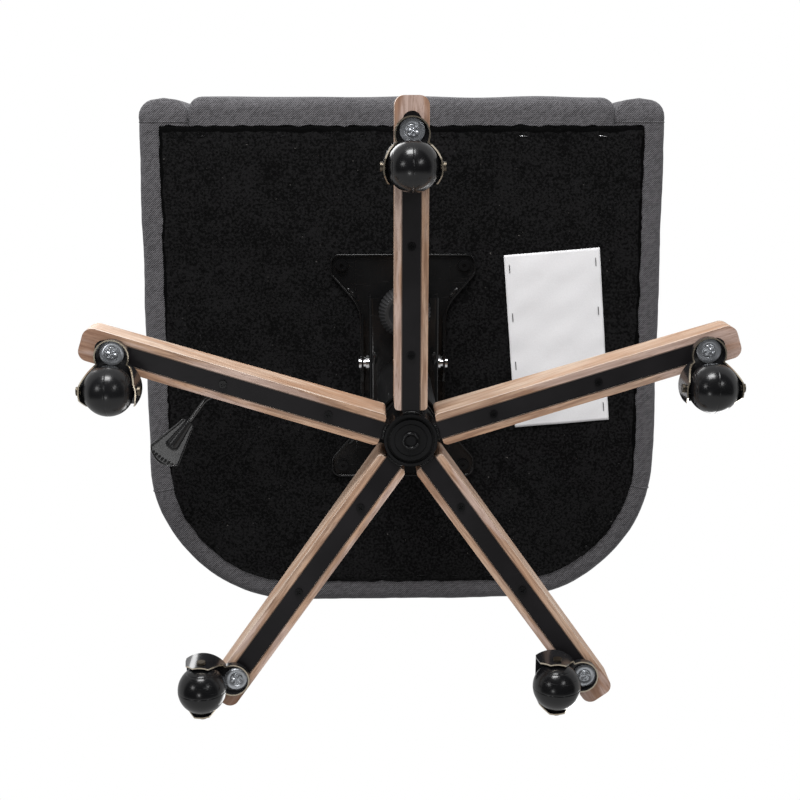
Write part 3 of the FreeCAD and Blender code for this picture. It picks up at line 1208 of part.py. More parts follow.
def make_seat():
    """Board, deck foam, front rail and cushion between the arms."""
    inner = s.body_width / 2 - s.wall_thickness
    inner_rear = s.body_rear - s.wall_thickness
    inner_corner = s.body_corner - s.wall_thickness
    gap = s.soft_gap + corner_sag
    rail_back = s.body_front + s.rail_depth
    outline = (inner - gap, rail_back + gap, inner_rear - gap, 3, inner_corner - gap)
    board = doc.addObject("Part::Feature", "board")
    board.Shape = Part.Face(soft_ring(*outline, 0, 0, 0)).extrude(Vector(0, 0, s.board_thickness))
    holes = [cylinder("board_hole_%d" % index, "plate_bolt_diameter / 2", "-5",
                      "board_thickness - 2", x=x, y=y)
             for index, (x, y) in enumerate(plate_bolt_places())]
    on_seat(cut("drilled_board", board, *holes), "seat_board")

    foam = doc.addObject("Part::Feature", "deck_foam")
    low = s.board_thickness + gap
    foam.Shape = Part.Face(soft_ring(*outline, low, 0, 0)).extrude(
        Vector(0, 0, s.deck_height - low))
    on_seat(foam, "deck_foam")

    rail = doc.addObject("Part::Feature", "front_rail")
    wires = []
    for depth, inset in front_insets():
        half = inner - gap
        near = s.body_front - 1.5 + depth
        corners = [Vector(-half, near, inset * 0.6), Vector(half, near, inset * 0.6),
                   Vector(half, near, s.deck_height - inset * 0.6),
                   Vector(-half, near, s.deck_height - inset * 0.6)]
        wires.append(Part.makePolygon(corners + corners[:1]))
    corners = [Vector(-half, rail_back, 0), Vector(half, rail_back, 0),
               Vector(half, rail_back, s.deck_height), Vector(-half, rail_back, s.deck_height)]
    wires.append(Part.makePolygon(corners + corners[:1]))
    rail.Shape = ruled_solid(wires)
    on_seat(rail, "front_rail")

    cushion = doc.addObject("Part::Feature", "seat_cushion")
    outline = (inner - gap, s.body_front + 2, inner_rear - s.back_cushion_depth * 0.1,
               s.cushion_corner, inner_corner)
    low = s.deck_height + gap
    wires = cushion_rings(outline, low, low + s.cushion_height, s.cushion_round,
                          s.cushion_crown, s.cushion_pull)
    cushion.Shape = ruled_solid(wires)
    on_seat(cushion, "seat_cushion")
    # The back's round corners hold the back cushion off the flat of the back by their sag
    heel = s.cushion_round * 0.6
    beyond = max(0, s.back_cushion_width / 2 - heel - (inner - inner_corner))
    sag = inner_corner - math.sqrt(inner_corner ** 2 - beyond ** 2)
    make_back_cushion(inner_rear - sag - corner_sag, low + s.cushion_height)


def make_back_cushion(rear, seat_top):
    """Pad in front of the back, leaning with it."""
    half = s.back_cushion_width / 2
    tall = s.back_cushion_height / 2
    outline = (half, -tall, tall, s.back_cushion_foot, s.back_cushion_head)
    wires = cushion_rings(outline, 0, s.back_cushion_depth, s.cushion_round, s.back_crown,
                          s.cushion_pull)
    pad_item = doc.addObject("Part::Feature", "back_cushion")
    pad_item.Shape = ruled_solid(wires)
    lean = math.atan(s.back_lean)
    bottom = Vector(0, rear + s.back_lean * seat_top - s.back_cushion_gap, seat_top)
    up = Vector(0, math.sin(lean), math.cos(lean))
    forward = Vector(0, -math.cos(lean), math.sin(lean))
    turn = Rotation(Vector(-1, 0, 0), up, forward)
    pad_item.Placement = Placement(bottom + up * (tall + s.back_cushion_lift), turn)
    on_seat(pad_item, "back_cushion")


# Outline of the dust cover, inside the body's own
cover_half = s.body_width / 2 - s.cover_side_margin
cover_front = s.body_front + s.cover_front_margin
cover_rear = s.body_rear - s.cover_rear_margin
cover_corner = s.body_corner - s.cover_side_margin


def make_underside():
    """Dust cover under the seat, a blank paper sheet on it, and the staples of both."""
    cloth = doc.addObject("Part::Feature", "cloth")
    wire = soft_ring(cover_half, cover_front, cover_rear, s.cover_front_corner, cover_corner,
                     -s.cloth_thickness, 0, 0)
    cloth.Shape = Part.Face(wire).extrude(Vector(0, 0, s.cloth_thickness))
    holes = [cylinder("cloth_hole_%d" % index, "plate_bolt_diameter / 2", "-5", "5", x=x, y=y)
             for index, (x, y) in enumerate(plate_bolt_places())]
    on_seat(cut("pierced_cloth", cloth, *holes), "dust_cover")

    paper = block("paper", ("-sheet_width / 2", "-sheet_length / 2",
                            "-cloth_thickness - paper_thickness"),
                  ("sheet_width / 2", "sheet_length / 2", "-cloth_thickness"))
    turn = Placement(Vector(cover_half - s.sheet_from_side, cover_front + s.sheet_from_front, 0),
                     Rotation(Vector(0, 0, 1), s.sheet_turn))
    sheet_item = group("paper_sheet", paper)
    sheet_item.Placement = turn
    on_seat(sheet_item, "blank_sheet")

    staples = []
    for index, (x, y, angle) in enumerate(staple_places()):
        staple = block("staple_%d" % index, ("-staple_length / 2", "-staple_wire / 2",
                                             "-cloth_thickness - staple_wire"),
                       ("staple_length / 2", "staple_wire / 2", "-cloth_thickness"))
        holder = group("staple_turn_%d" % index, staple)
        holder.Placement = Placement(Vector(x, y, 0), Rotation(Vector(0, 0, 1), angle))
        staples.append(holder)
    on_seat(group("staple_group", *staples), "staples")


def staple_places():
    """Middle and direction of each staple along the edge of the dust cover."""
    places = []
    edge = s.staple_edge
    across = cover_half - cover_corner
    for share in (-0.83, -0.5, -0.17, 0.17, 0.5, 0.83):
        places.append((share * cover_half, cover_front + edge, 8 * share))
        places.append((share * across, cover_rear - edge, -8 * share))
    straight = cover_rear - cover_corner - cover_front
    for share in (0.1, 0.3, 0.5, 0.7, 0.9):
        y = cover_front + share * straight
        places.append((cover_half - edge, y, 90 + 10 * share))
        places.append((edge - cover_half, y, 90 - 10 * share))
    for turn in (25, 50, 75):
        angle = math.radians(turn)
        x = across + (cover_corner - edge) * math.cos(angle)
        y = cover_rear - cover_corner + (cover_corner - edge) * math.sin(angle)
        places.append((x, y, turn + 90))
        places.append((-x, y, 90 - turn))
    return places


make_base()
make_column()
make_casters()
make_housing()
make_seat_plate()
make_tension()
make_lever()
for label, side in (("left_arm", -1), ("right_arm", 1)):
    make_arm_rest(label, side)
make_back()
make_seat()
make_underside()
doc.recompute()

failed = [item.Label for item in doc.Objects
          if "Invalid" in item.State or "Error" in item.State]
if failed:
    raise RuntimeError("objects failed: " + ", ".join(failed))
for label, item in parts.items():
    if item.Shape.isNull() or not item.Shape.isValid() or not item.Shape.Solids:
        raise RuntimeError("bad shape: " + label)

os.makedirs("parts", exist_ok=True)
for label, item in parts.items():
    item.Shape.exportStep("parts/%s.step" % label)
print("%d sub-parts written" % len(parts))
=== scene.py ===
import math

import bmesh
import bpy
import numpy as np
from mathutils import Matrix, Vector
from mathutils.bvhtree import BVHTree


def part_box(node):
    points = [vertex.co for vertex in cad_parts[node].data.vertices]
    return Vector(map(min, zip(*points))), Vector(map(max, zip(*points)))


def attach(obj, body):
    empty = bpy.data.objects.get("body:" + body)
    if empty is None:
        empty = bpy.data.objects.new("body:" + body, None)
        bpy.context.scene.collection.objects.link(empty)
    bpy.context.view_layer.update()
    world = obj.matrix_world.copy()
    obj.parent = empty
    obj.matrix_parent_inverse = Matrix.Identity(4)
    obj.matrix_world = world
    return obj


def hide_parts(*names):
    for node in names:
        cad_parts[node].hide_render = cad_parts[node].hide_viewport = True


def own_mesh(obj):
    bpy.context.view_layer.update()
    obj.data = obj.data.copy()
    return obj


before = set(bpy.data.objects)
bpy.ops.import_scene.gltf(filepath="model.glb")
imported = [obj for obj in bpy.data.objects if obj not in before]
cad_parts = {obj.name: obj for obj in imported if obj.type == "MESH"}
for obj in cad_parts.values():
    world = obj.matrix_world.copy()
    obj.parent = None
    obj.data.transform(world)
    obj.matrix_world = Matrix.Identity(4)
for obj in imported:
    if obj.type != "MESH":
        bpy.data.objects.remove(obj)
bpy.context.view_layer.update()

# Swivel chair: upholstered tub on a wood-covered base with ball casters, seen from underneath.
# Lengths are in metres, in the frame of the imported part.

armNames = ["front", "right", "rear_right", "rear_left", "left"]
armTurn = {name: math.radians(-90 + 72 * index) for index, name in enumerate(armNames)}

seat = {"height": 0.391, "pitch": math.radians(2.93)}  # the seat's own frame


def seatPoints(points):
    # turn about X by minus the pitch, then lift to the seat's height
    turned = np.array(points, float)
    y, z = turned[..., 1].copy(), turned[..., 2].copy()
    turned[..., 1] = y * math.cos(seat["pitch"]) + z * math.sin(seat["pitch"])
    turned[..., 2] = z * math.cos(seat["pitch"]) - y * math.sin(seat["pitch"]) + seat["height"]
    return turned


def ease(share):
    # smooth step: 3 t squared minus 2 t cubed
    share = np.clip(share, 0, 1)
    return share * share * (3 - 2 * share)


def ripple(x, y, size, seed):
    # sum of four sine waves in fixed directions, from -1 to 1, about one wave per size
    turn = np.array([0.3, 1.4, 2.3, 3.9]) + seed * 1.7
    stretch = np.array([1.0, 1.37, 0.71, 1.9])
    total = 0
    for angle, factor in zip(turn, stretch):
        phase = (x * math.cos(angle) + y * math.sin(angle)) * factor / size
        total = total + np.sin(2 * math.pi * phase + 5.1 * angle + seed) / 4
    return total


def xyz(x, y, z):
    # three arrays or numbers as one array of points
    return np.stack(np.broadcast_arrays(x, y, z), -1)


def gridFaces(grid, start=0, loop=True):
    # number the points row by row and join each row to the next by quads; loop closes each row
    index = start + np.arange(grid.shape[0] * grid.shape[1]).reshape(grid.shape[:2])
    near, far = index[:-1], index[1:]
    if loop:
        corners = [near, np.roll(near, -1, 1), np.roll(far, -1, 1), far]
    else:
        corners = [near[:, :-1], near[:, 1:], far[:, 1:], far[:, :-1]]
    return index, np.stack(corners, -1).reshape(-1, 4).tolist()


def gridMesh(name, grid, loop=True, caps=False):
    # one surface; caps closes its first and last row with a fan
    points = grid.reshape(-1, 3)
    index, faces = gridFaces(grid, loop=loop)
    if caps:
        middles = np.stack([grid[0].mean(0), grid[-1].mean(0)])
        points = np.vstack([points, middles])
        for row, middle in ((index[0], len(points) - 2), (index[-1], len(points) - 1)):
            after = np.roll(row, -1)
            faces += xyz(row, after, middle).tolist()
    return pointMesh(name, points, faces)


def pointMesh(name, points, faces):
    # a mesh with doubles merged and its faces turned outwards
    mesh = bpy.data.meshes.new(name)
    mesh.from_pydata(np.asarray(points).tolist(), [], faces)
    work = bmesh.new()
    work.from_mesh(mesh)
    bmesh.ops.remove_doubles(work, verts=work.verts, dist=2e-5)
    bmesh.ops.recalc_face_normals(work, faces=work.faces)
    work.to_mesh(mesh)
    work.free()
    mesh.shade_smooth()
    piece = bpy.data.objects.new(name, mesh)
    bpy.context.scene.collection.objects.link(piece)
    return piece


def around(count):
    # angles of one full turn, the end left off
    return np.linspace(0, 2 * math.pi, count, endpoint=False)


def tubeGrid(path, radius, sides=10, closed=False):
    # a circle carried along a path: centre plus radius times (side cos + up sin)
    path = np.asarray(path, float)
    if closed:
        along = np.roll(path, -1, 0) - np.roll(path, 1, 0)
    else:
        along = np.gradient(path, axis=0)
    along /= np.linalg.norm(along, axis=1, keepdims=True)
    guide = np.array([0.0, 0.0, 1.0])
    if np.abs(along @ guide).max() > 0.95:
        guide = np.array([0.31, 0.95, 0.05])
    side = np.cross(along, guide)
    side /= np.linalg.norm(side, axis=1, keepdims=True)
    up = np.cross(side, along)
    turn = around(sides)
    ring = np.cos(turn)[None, :, None] * side[:, None] + np.sin(turn)[None, :, None] * up[:, None]
    grid = path[:, None] + radius * ring
    return np.vstack([grid, grid[:1]]) if closed else grid


def dress(piece, body, material, nodes=()):
    # material, slot, body and the solids that the piece stands for
    piece.data.materials.clear()
    piece.data.materials.append(material)
    if nodes:
        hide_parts(*nodes)
    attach(piece, body)


def thicken(sheet, thickness):
    # a wall on the side that the faces turn away from
    solid = sheet.modifiers.new("thickness", "SOLIDIFY")
    solid.thickness = thickness
    solid.offset = -1


def turnedGrid(radius, height, place, turns, ribs):
    # a profile turned about an upright axis at a place; ribs(r, z, angle) adds to r and z
    angle = around(turns)[None]
    r, z = ribs(np.asarray(radius)[:, None], np.asarray(height)[:, None], angle)
    return xyz(place[0] + r * np.cos(angle), place[1] + r * np.sin(angle), z)


# Shader helpers: they fill the node tree on the bench, which is a material's, a group's or the world's

bench = {}


def addNode(kind, inputs=None, **settings):
    # a node whose inputs are values or other nodes' sockets; gives its outputs
    tree = bench["tree"]
    node = tree.nodes.new("ShaderNode" + kind)
    for key, value in settings.items():
        setattr(node, key, value)
    for key, value in (inputs or {}).items():
        if isinstance(value, bpy.types.NodeSocket):
            tree.links.new(value, node.inputs[key])
        else:
            node.inputs[key].default_value = value
    return node.outputs


def calc(operation, first, second=0.0, third=0.0):
    return addNode("Math", {0: first, 1: second, 2: third}, operation=operation)[0]


def times(first, second, more=None):
    # first times second, plus more where it is given
    if more is None:
        return calc("MULTIPLY", first, second)
    return calc("MULTIPLY_ADD", first, second, more)


def vectorCalc(operation, first, second):
    return addNode("VectorMath", {0: first, 1: second}, operation=operation)[0]


def parts(vector):
    return addNode("SeparateXYZ", {0: vector})


def mixColor(share, first, second):
    return addNode("Mix", {0: share, 6: first, 7: second}, data_type="RGBA")[2]


def mixNumber(share, first, second):
    return addNode("Mix", {0: share, 2: first, 3: second})[0]


def ramp(value, low, high, bottom=0.0, top=1.0):
    return addNode("MapRange", {0: value, 1: low, 2: high, 3: bottom, 4: top},
                   interpolation_type="SMOOTHSTEP")[0]


def noise(vector, scale, detail=3.0, rough=0.5, output=0):
    return addNode("TexNoise", {"Vector": vector, "Scale": scale, "Detail": detail,
                                "Roughness": rough})[output]


def stretched(vector, scale=(1, 1, 1), turn=(0, 0, 0), move=(0, 0, 0)):
    return addNode("Mapping", {"Vector": vector, "Scale": scale, "Rotation": turn, "Location": move})[0]


def startGroup(name, inputs):
    # an input is a number with its default, or a vector where the default is None
    group = bench["tree"] = bpy.data.node_groups.new(name, "ShaderNodeTree")
    for label, default in inputs.items():
        kind = "NodeSocketVector" if default is None else "NodeSocketFloat"
        item = group.interface.new_socket(label, in_out="INPUT", socket_type=kind)
        if default is not None:
            item.default_value = default
    return group, group.nodes.new("NodeGroupInput").outputs


def endGroup(group, results):
    for label in results:
        group.interface.new_socket(label, in_out="OUTPUT", socket_type="NodeSocketFloat")
    ends = group.nodes.new("NodeGroupOutput").inputs
    for label, socket in results.items():
        group.links.new(socket, ends[label])
    return group


def startMaterial(name, values):
    # a Principled material with its constants on the shader's own sockets; gives Object coordinates too
    material = bpy.data.materials.new(name)
    material.use_nodes = True
    bench["tree"] = material.node_tree
    for key, value in values.items():
        material.node_tree.nodes["Principled BSDF"].inputs[key].default_value = value
    return material, addNode("TexCoord")["Object"]


def feed(sockets):
    # link sockets to the shader's inputs
    tree = bench["tree"]
    for key, socket in sockets.items():
        tree.links.new(socket, tree.nodes["Principled BSDF"].inputs[key])


def bump(height, strength, distance):
    feed({"Normal": addNode("Bump", {"Height": height, "Strength": strength, "Distance": distance})[0]})


def makeTwillPlane():
    # twill in one plane: diagonal ribs of short floats, with a random tone for each yarn
    group, given = startGroup("twillPlane", {"U": 0.0, "V": 0.0})
    diagonal = calc("ADD", given["U"], given["V"])
    rib = calc("ABSOLUTE", calc("SINE", times(diagonal, math.pi)))
    floatShare = calc("ABSOLUTE", calc("SINE", times(given["V"], math.pi)))
    cell = addNode("CombineXYZ", {0: calc("FLOOR", diagonal), 1: calc("FLOOR", given["V"])})[0]
    tone = addNode("TexWhiteNoise", {"Vector": cell}, noise_dimensions="2D")[0]
    return endGroup(group, {"Height": times(rib, 0.82, times(floatShare, 0.18)), "Tone": tone})


def makeTwill():
    # the twill laid on all three planes and mixed by which way the surface faces
    plane = makeTwillPlane()
    group, given = startGroup("twill", {"Vector": None, "Normal": None, "Pitch": 0.0015})
    vector = given["Vector"]
    wobble = vectorCalc("MULTIPLY", noise(vector, 9.0, 0.0, output=1), (0.0022,) * 3)
    threads = addNode("VectorMath", {0: vectorCalc("ADD", vector, wobble),
                                     "Scale": calc("DIVIDE", 1.0, given["Pitch"])}, operation="SCALE")[0]
    place, facing = parts(threads), parts(given["Normal"])
    weights = [calc("POWER", calc("ABSOLUTE", side), 6.0) for side in facing]
    total = calc("ADD", calc("ADD", weights[0], weights[1]), weights[2])
    height, tone = 0.0, 0.0
    for weight, (across, along) in zip(weights, ((1, 2), (0, 2), (0, 1))):
        weave = addNode("Group", {"U": place[across], "V": place[along]}, node_tree=plane)
        share = calc("DIVIDE", weight, total)
        height = times(weave["Height"], share, height)
        tone = times(weave["Tone"], share, tone)
    return endGroup(group, {"Height": height, "Tone": tone, "Mottle": noise(vector, 22.0, 4.0, 0.6)})


def makeSurface():
    # fine grain, broad clouds, thin scratches and dust of a painted or moulded surface
    group, given = startGroup("surfaceGrain", {"Vector": None, "Grain": 900.0})
    vector = given["Vector"]
    cloud = noise(vector, 16.0, 4.0, 0.55)
    streaks = noise(stretched(vector, (30, 420, 90), (0.4, 0.7, 0.3)), 1.0, 2.0)
    upward = parts(addNode("NewGeometry")["Normal"])[2]
    return endGroup(group, {
        "Fine": noise(vector, given["Grain"], 2.0), "Cloud": cloud, "Scratch": ramp(streaks, 0.66, 0.72),
        "Dust": times(ramp(upward, 0.2, 0.9), ramp(cloud, 0.4, 0.7))})


# Each field of the oak: stretch along the arm's axes, detail, roughness, and where its mask begins and ends
oakFields = {
    "Grain": ((6, 260, 260), 4.0, 0.6, 0.38, 0.64), "Pore": ((28, 1100, 1100), 2.0, 0.5, 0.55, 0.72),
    "Wash": ((9, 60, 60), 5.0, 0.65, 0.35, 0.68), "Knot": ((14, 45, 45), 1.0, 0.4, 0.66, 0.8),
}


def makeWood():
    # long grain and pores that wander a little, wash in the pores, and knots
    group, given = startGroup("limedOak", {"Vector": None})
    vector = given["Vector"]
    bend = noise(stretched(vector, (5, 30, 30)), 1.0, 2.0, output=1)
    warped = vectorCalc("ADD", vector, vectorCalc("MULTIPLY", bend, (0.0, 0.012, 0.012)))
    masks = {}
    for label, (scale, detail, rough, low, high) in oakFields.items():
        start = vector if label == "Knot" else warped
        masks[label] = ramp(noise(stretched(start, scale), 1.0, detail, rough), low, high)
    return endGroup(group, masks)


twillGroup = makeTwill()
surfaceGroup = makeSurface()
woodGroup = makeWood()

fabricLook = {
    "dark": (0.004, 0.0038, 0.0043, 1), "light": (0.150, 0.145, 0.154, 1), "pitch": 0.0027,
    "bumpDepth": 0.0006, "sheen": 0.22, "ribShare": 0.74, "yarnShare": 0.24, "mottleShare": 0.08,
    "contrast": (0.22, 0.92),
}


def makeFabric(look=fabricLook):
    material, place = startMaterial("greyTwill", {
        "Roughness": 0.92, "Sheen Weight": look["sheen"], "Sheen Roughness": 0.45,
        "Specular IOR Level": 0.2, "Sheen Tint": (0.8, 0.8, 0.84, 1)})
    facing = addNode("TexCoord")["Normal"]
    weave = addNode("Group", {"Vector": place, "Normal": facing, "Pitch": look["pitch"]},
                    node_tree=twillGroup)
    yarn = times(weave["Height"], look["ribShare"], times(weave["Tone"], look["yarnShare"]))
    yarn = times(weave["Mottle"], look["mottleShare"], yarn)
    feed({"Base Color": mixColor(ramp(yarn, *look["contrast"]), look["dark"], look["light"]),
          "Roughness": ramp(weave["Mottle"], 0.3, 0.7, 0.86, 0.97)})
    bump(weave["Height"], 0.9, look["bumpDepth"])
    return material


# the shade colour and the band settings below paint a shadow along the cover's front and side edges
dustClothLook = {
    "dark": (0.0018, 0.0018, 0.0019, 1), "light": (0.0105, 0.0103, 0.0108, 1),
    "lint": (0.10, 0.095, 0.09, 1), "cell": 420.0, "shade": (0.0003, 0.0003, 0.0004, 1),
    "frontPaintedShadow": 0.3010, "sidePaintedShadow": 0.2935, "paintedShadowEdge": 0.001, "paintedShadowWander": 0.010,
}


def makeDustCloth(look=dustClothLook):
    # spunbonded cloth: pressed dots, fine fibres, broad creases, and a painted shadow as a near-black band
    # along its front and side edges
    material, place = startMaterial("blackNonwoven", {"Roughness": 0.9, "Specular IOR Level": 0.07,
                                                      "Sheen Weight": 0.01})
    dots = addNode("TexVoronoi", {"Vector": place, "Scale": look["cell"], "Randomness": 0.35})[0]
    fibres = noise(place, 1400.0, 2.0, 0.7)
    creases = noise(stretched(place, (1, 1.6, 1)), 14.0, 3.0, 0.6)
    patches = noise(place, 26.0, 3.0, 0.7)
    tone = times(noise(place, 330.0, 2.0, 0.6), 0.72, times(patches, 0.28))
    color = mixColor(ramp(tone, 0.40, 0.60), look["dark"], look["light"])
    specks = noise(stretched(place, (1, 1.4, 1)), 170.0, 2.0, 0.5)
    color = mixColor(ramp(specks, 0.735, 0.80, 0, 0.8), color, look["lint"])
    spot = parts(place)
    # painted shadow: a near-black band along the front edge and both side edges, its border wandering a
    # little
    paintedShadowWander = times(calc("SUBTRACT", noise(place, 38.0, 3.0, 0.6), 0.5), look["paintedShadowWander"])
    paintedShadowBands = [ramp(calc("ADD", value, paintedShadowWander), start, start + look["paintedShadowEdge"])
             for value, start in ((times(spot[1], -1.0), look["frontPaintedShadow"]),
                                  (calc("ABSOLUTE", spot[0]), look["sidePaintedShadow"]))]
    color = mixColor(times(calc("MAXIMUM", *paintedShadowBands), 0.92), color, look["shade"])
    feed({"Base Color": color, "Roughness": ramp(patches, 0.3, 0.7, 0.8, 0.95)})
    bump(times(creases, 4.0, times(dots, 0.5, fibres)), 0.6, 0.0006)
    return material


# the darkest colour here paints a shadow on the underside along both edges of the groove
woodLook = {
    "bare": (0.50, 0.305, 0.195, 1), "deep": (0.22, 0.110, 0.062, 1), "limed": (0.70, 0.565, 0.455, 1),
    "edge": (0.78, 0.68, 0.60, 1), "tipTone": (0.27, 0.130, 0.080, 1), "tipFrom": 0.300,
    "pink": (0.66, 0.52, 0.47, 1), "joint": (0.02, 0.014, 0.011, 1), "groove": 0.00905,
    "grooveLine": 0.0007, "grooveEnd": 0.318, "undersideHub": 0.0760, "undersideTip": 0.0545,
    "reach": 0.346, "shift": (0.37, 0.11),
}


def makeArmWood(name, look=woodLook):
    # the arm's own axes: X outward, Z up; limed all over but less on the underside, and darker brown on the
    # underside towards the tip
    material, place = startMaterial("limedOak" + name.title().replace("_", ""), {
        "Roughness": 0.6, "Specular IOR Level": 0.4, "Coat Weight": 0.06, "Coat Roughness": 0.35})
    turned = stretched(place, turn=(0, 0, -armTurn[name]))
    shift = [step * armNames.index(name) for step in look["shift"]]
    moved = stretched(turned, move=(shift[0], 0, shift[1]))
    grain = addNode("Group", {"Vector": moved}, node_tree=woodGroup)
    x, y, z = parts(turned)
    underside = ramp(parts(addNode("TexCoord")["Normal"])[2], -0.55, -0.9)
    slope = (look["undersideTip"] - look["undersideHub"]) / look["reach"]
    rise = calc("SUBTRACT", z, times(x, slope, look["undersideHub"]))
    rough = noise(stretched(moved, (26, 200, 200)), 1.0, 4.0, 0.7)
    rubbed = times(ramp(calc("ADD", rise, times(rough, 0.012)), 0.0100, 0.0075),
                   calc("SUBTRACT", 1.0, underside))
    atTip = ramp(x, look["tipFrom"], look["tipFrom"] + 0.03)
    strip = ramp(noise(stretched(moved, (5, 34, 0)), 1.0, 3.0, 0.6), 0.50, 0.58)
    line, end = look["grooveLine"], look["grooveEnd"]
    # painted shadow: a dark line on the underside beside both edges of the groove where the steel sits, up to
    # the groove's end
    joint = ramp(calc("ABSOLUTE", y), look["groove"] + line, look["groove"] + 2 * line, 1, 0)
    joint = times(times(joint, ramp(x, end, end + 0.003, 1, 0)), underside)
    limed = mixColor(times(grain["Wash"], 0.9), look["bare"], look["limed"])
    color = mixColor(grain["Grain"], look["bare"], look["deep"])
    color = mixColor(times(underside, -0.50, 0.92), color, limed)
    layers = [(times(atTip, underside), 0.62, "tipTone"), (times(strip, underside), 0.6, "pink"),
              (grain["Grain"], 0.36, "deep"), (grain["Pore"], 0.5, "deep"), (grain["Knot"], 0.35, "deep"),
              (rubbed, 0.62, "edge"), (joint, 0.8, "joint")]
    for mask, share, tone in layers:
        color = mixColor(times(mask, share), color, look[tone])
    feed({"Base Color": color, "Roughness": ramp(grain["Wash"], 0, 1, 0.5, 0.72)})
    bump(times(grain["Pore"], -0.6, times(grain["Grain"], 0.5)), 0.5, 0.0004)
    return material


def makeHard(name, color, roughness, metallic=0.0, grain=900.0, depth=0.00008, tint=1.6,
             scuff=0.15, coat=0.0, specular=0.5):
    # paint, plastic or plated metal: clouds in the colour, grain and scratches in roughness and bump
    material, place = startMaterial(name, {
        "Roughness": roughness, "Metallic": metallic, "Coat Weight": coat, "Coat Roughness": 0.12,
        "Specular IOR Level": specular})
    wear = addNode("Group", {"Vector": place, "Grain": grain}, node_tree=surfaceGroup)
    bright = tuple(min(1, part * tint) for part in color) + (1,)
    base = mixColor(ramp(wear["Cloud"], 0.35, 0.7), tuple(color) + (1,), bright)
    base = mixColor(times(wear["Dust"], 0.04), base, (0.4, 0.38, 0.35, 1))
    matt = times(wear["Scratch"], scuff, times(wear["Cloud"], 0.14, roughness - 0.07))
    feed({"Base Color": base, "Roughness": matt})
    bump(times(wear["Scratch"], -0.3, wear["Fine"]), 0.35, depth)
    return material


hoodLook = {"enamel": (0.010, 0.010, 0.011), "bare": (0.62, 0.54, 0.42, 1), "rimTop": 0.0505,
            "rimFull": 0.0498, "bareMetal": 0.9}


def makeHoodMetal():
    # black enamel on pressed sheet; the cut edge along the rim is bare and worn bright
    material = makeHard("hoodEnamel", hoodLook["enamel"], 0.24, coat=0.3, grain=500.0)
    base = material.node_tree.nodes["Principled BSDF"].inputs["Base Color"].links[0].from_socket
    place = addNode("TexCoord")
    edge = times(ramp(parts(place["Normal"])[2], -0.12, -0.3),
                 ramp(parts(place["Object"])[2], hoodLook["rimTop"], hoodLook["rimFull"]))
    feed({"Base Color": mixColor(edge, base, hoodLook["bare"]),
          "Metallic": times(edge, hoodLook["bareMetal"])})
    return material


paperLook = {"dull": (0.70, 0.69, 0.70, 1), "pale": (0.86, 0.86, 0.88, 1),
             "crease": (0.62, 0.61, 0.62, 1)}


def makePaper(look=paperLook):
    # pulp clouds in the colour and creases that are a little darker
    material, place = startMaterial("blankPaper", {"Roughness": 0.7, "Specular IOR Level": 0.35})
    fibres = noise(place, 700.0, 4.0, 0.7)
    crease = noise(place, 18.0, 3.0, 0.6)
    color = mixColor(fibres, look["dull"], look["pale"])
    color = mixColor(ramp(crease, 0.55, 0.75, 0.0, 0.25), color, look["crease"])
    feed({"Base Color": color, "Roughness": ramp(fibres, 0.3, 0.7, 0.6, 0.8)})
    bump(times(crease, 3.0, fibres), 0.4, 0.0003)
    return material


fabric = makeFabric()
dustCloth = makeDustCloth()
paper = makePaper()
looks = {
    "basePaint": makeHard("satinBlackPaint", (0.0068, 0.0060, 0.0068), 0.42, grain=1500.0, specular=0.28),
    "hubPaint": makeHard("hubBlackPaint", (0.0045, 0.0045, 0.0049), 0.28, grain=1500.0, specular=0.34),
    "plateGloss": makeHard("glossBlackPaint", (0.0046, 0.0046, 0.0048), 0.20, coat=0.15, grain=120.0,
                           depth=0.0005, specular=0.32),
    "zinc": makeHard("brightZinc", (0.47, 0.49, 0.52), 0.26, metallic=0.80, tint=1.25, grain=1800.0),
    "chrome": makeHard("groundSteel", (0.66, 0.66, 0.67), 0.16, metallic=1.0, tint=1.2, grain=2500.0,
                       depth=0.00003),
    "blackPlastic": makeHard("mouldedPlastic", (0.006, 0.006, 0.0063), 0.38, grain=2600.0,
                             depth=0.00012, specular=0.3),
    "knobPlastic": makeHard("knobPlastic", (0.016, 0.016, 0.017), 0.45, grain=2200.0, depth=0.00015),
    "paddlePlastic": makeHard("paddlePlastic", (0.010, 0.010, 0.0105), 0.24, grain=2600.0,
                              depth=0.00006),
    "ball": makeHard("ballEnamel", (0.0050, 0.0050, 0.0056), 0.24, coat=0.10, grain=240.0,
                     depth=0.00018, scuff=0.25, specular=0.42),
    "rivet": makeHard("wornBrass", (0.10, 0.085, 0.065), 0.42, metallic=1.0, tint=2.0),
    "nylon": makeHard("naturalNylon", (0.62, 0.61, 0.57), 0.5, tint=1.15),
    "blackScrew": makeHard("blackOxide", (0.0035, 0.0035, 0.0038), 0.30, specular=0.22),
    "rodBlack": makeHard("lacqueredRod", (0.004, 0.004, 0.004), 0.11, specular=1.0, depth=0.00001,
                         scuff=0.05),
    "foam": makeHard("openFoam", (0.55, 0.50, 0.36), 0.95, grain=700.0, depth=0.0006, tint=1.2),
    "ply": makeHard("birchPly", (0.42, 0.29, 0.17), 0.6, tint=1.3),
    "staple": makeHard("stapleWire", (0.55, 0.55, 0.56), 0.3, metallic=1.0, tint=1.3),
}
hoodMetal = makeHoodMetal()
armWood = {name: makeArmWood(name) for name in armNames}
print("materials made:", len(bpy.data.materials))


def coat(material, *nodes):
    # give CAD nodes their finish
    for node in nodes:
        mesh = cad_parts[node].data
        mesh.materials.clear()
        mesh.materials.append(material)
        mesh.polygons.foreach_set("material_index", np.zeros(len(mesh.polygons), np.int32))


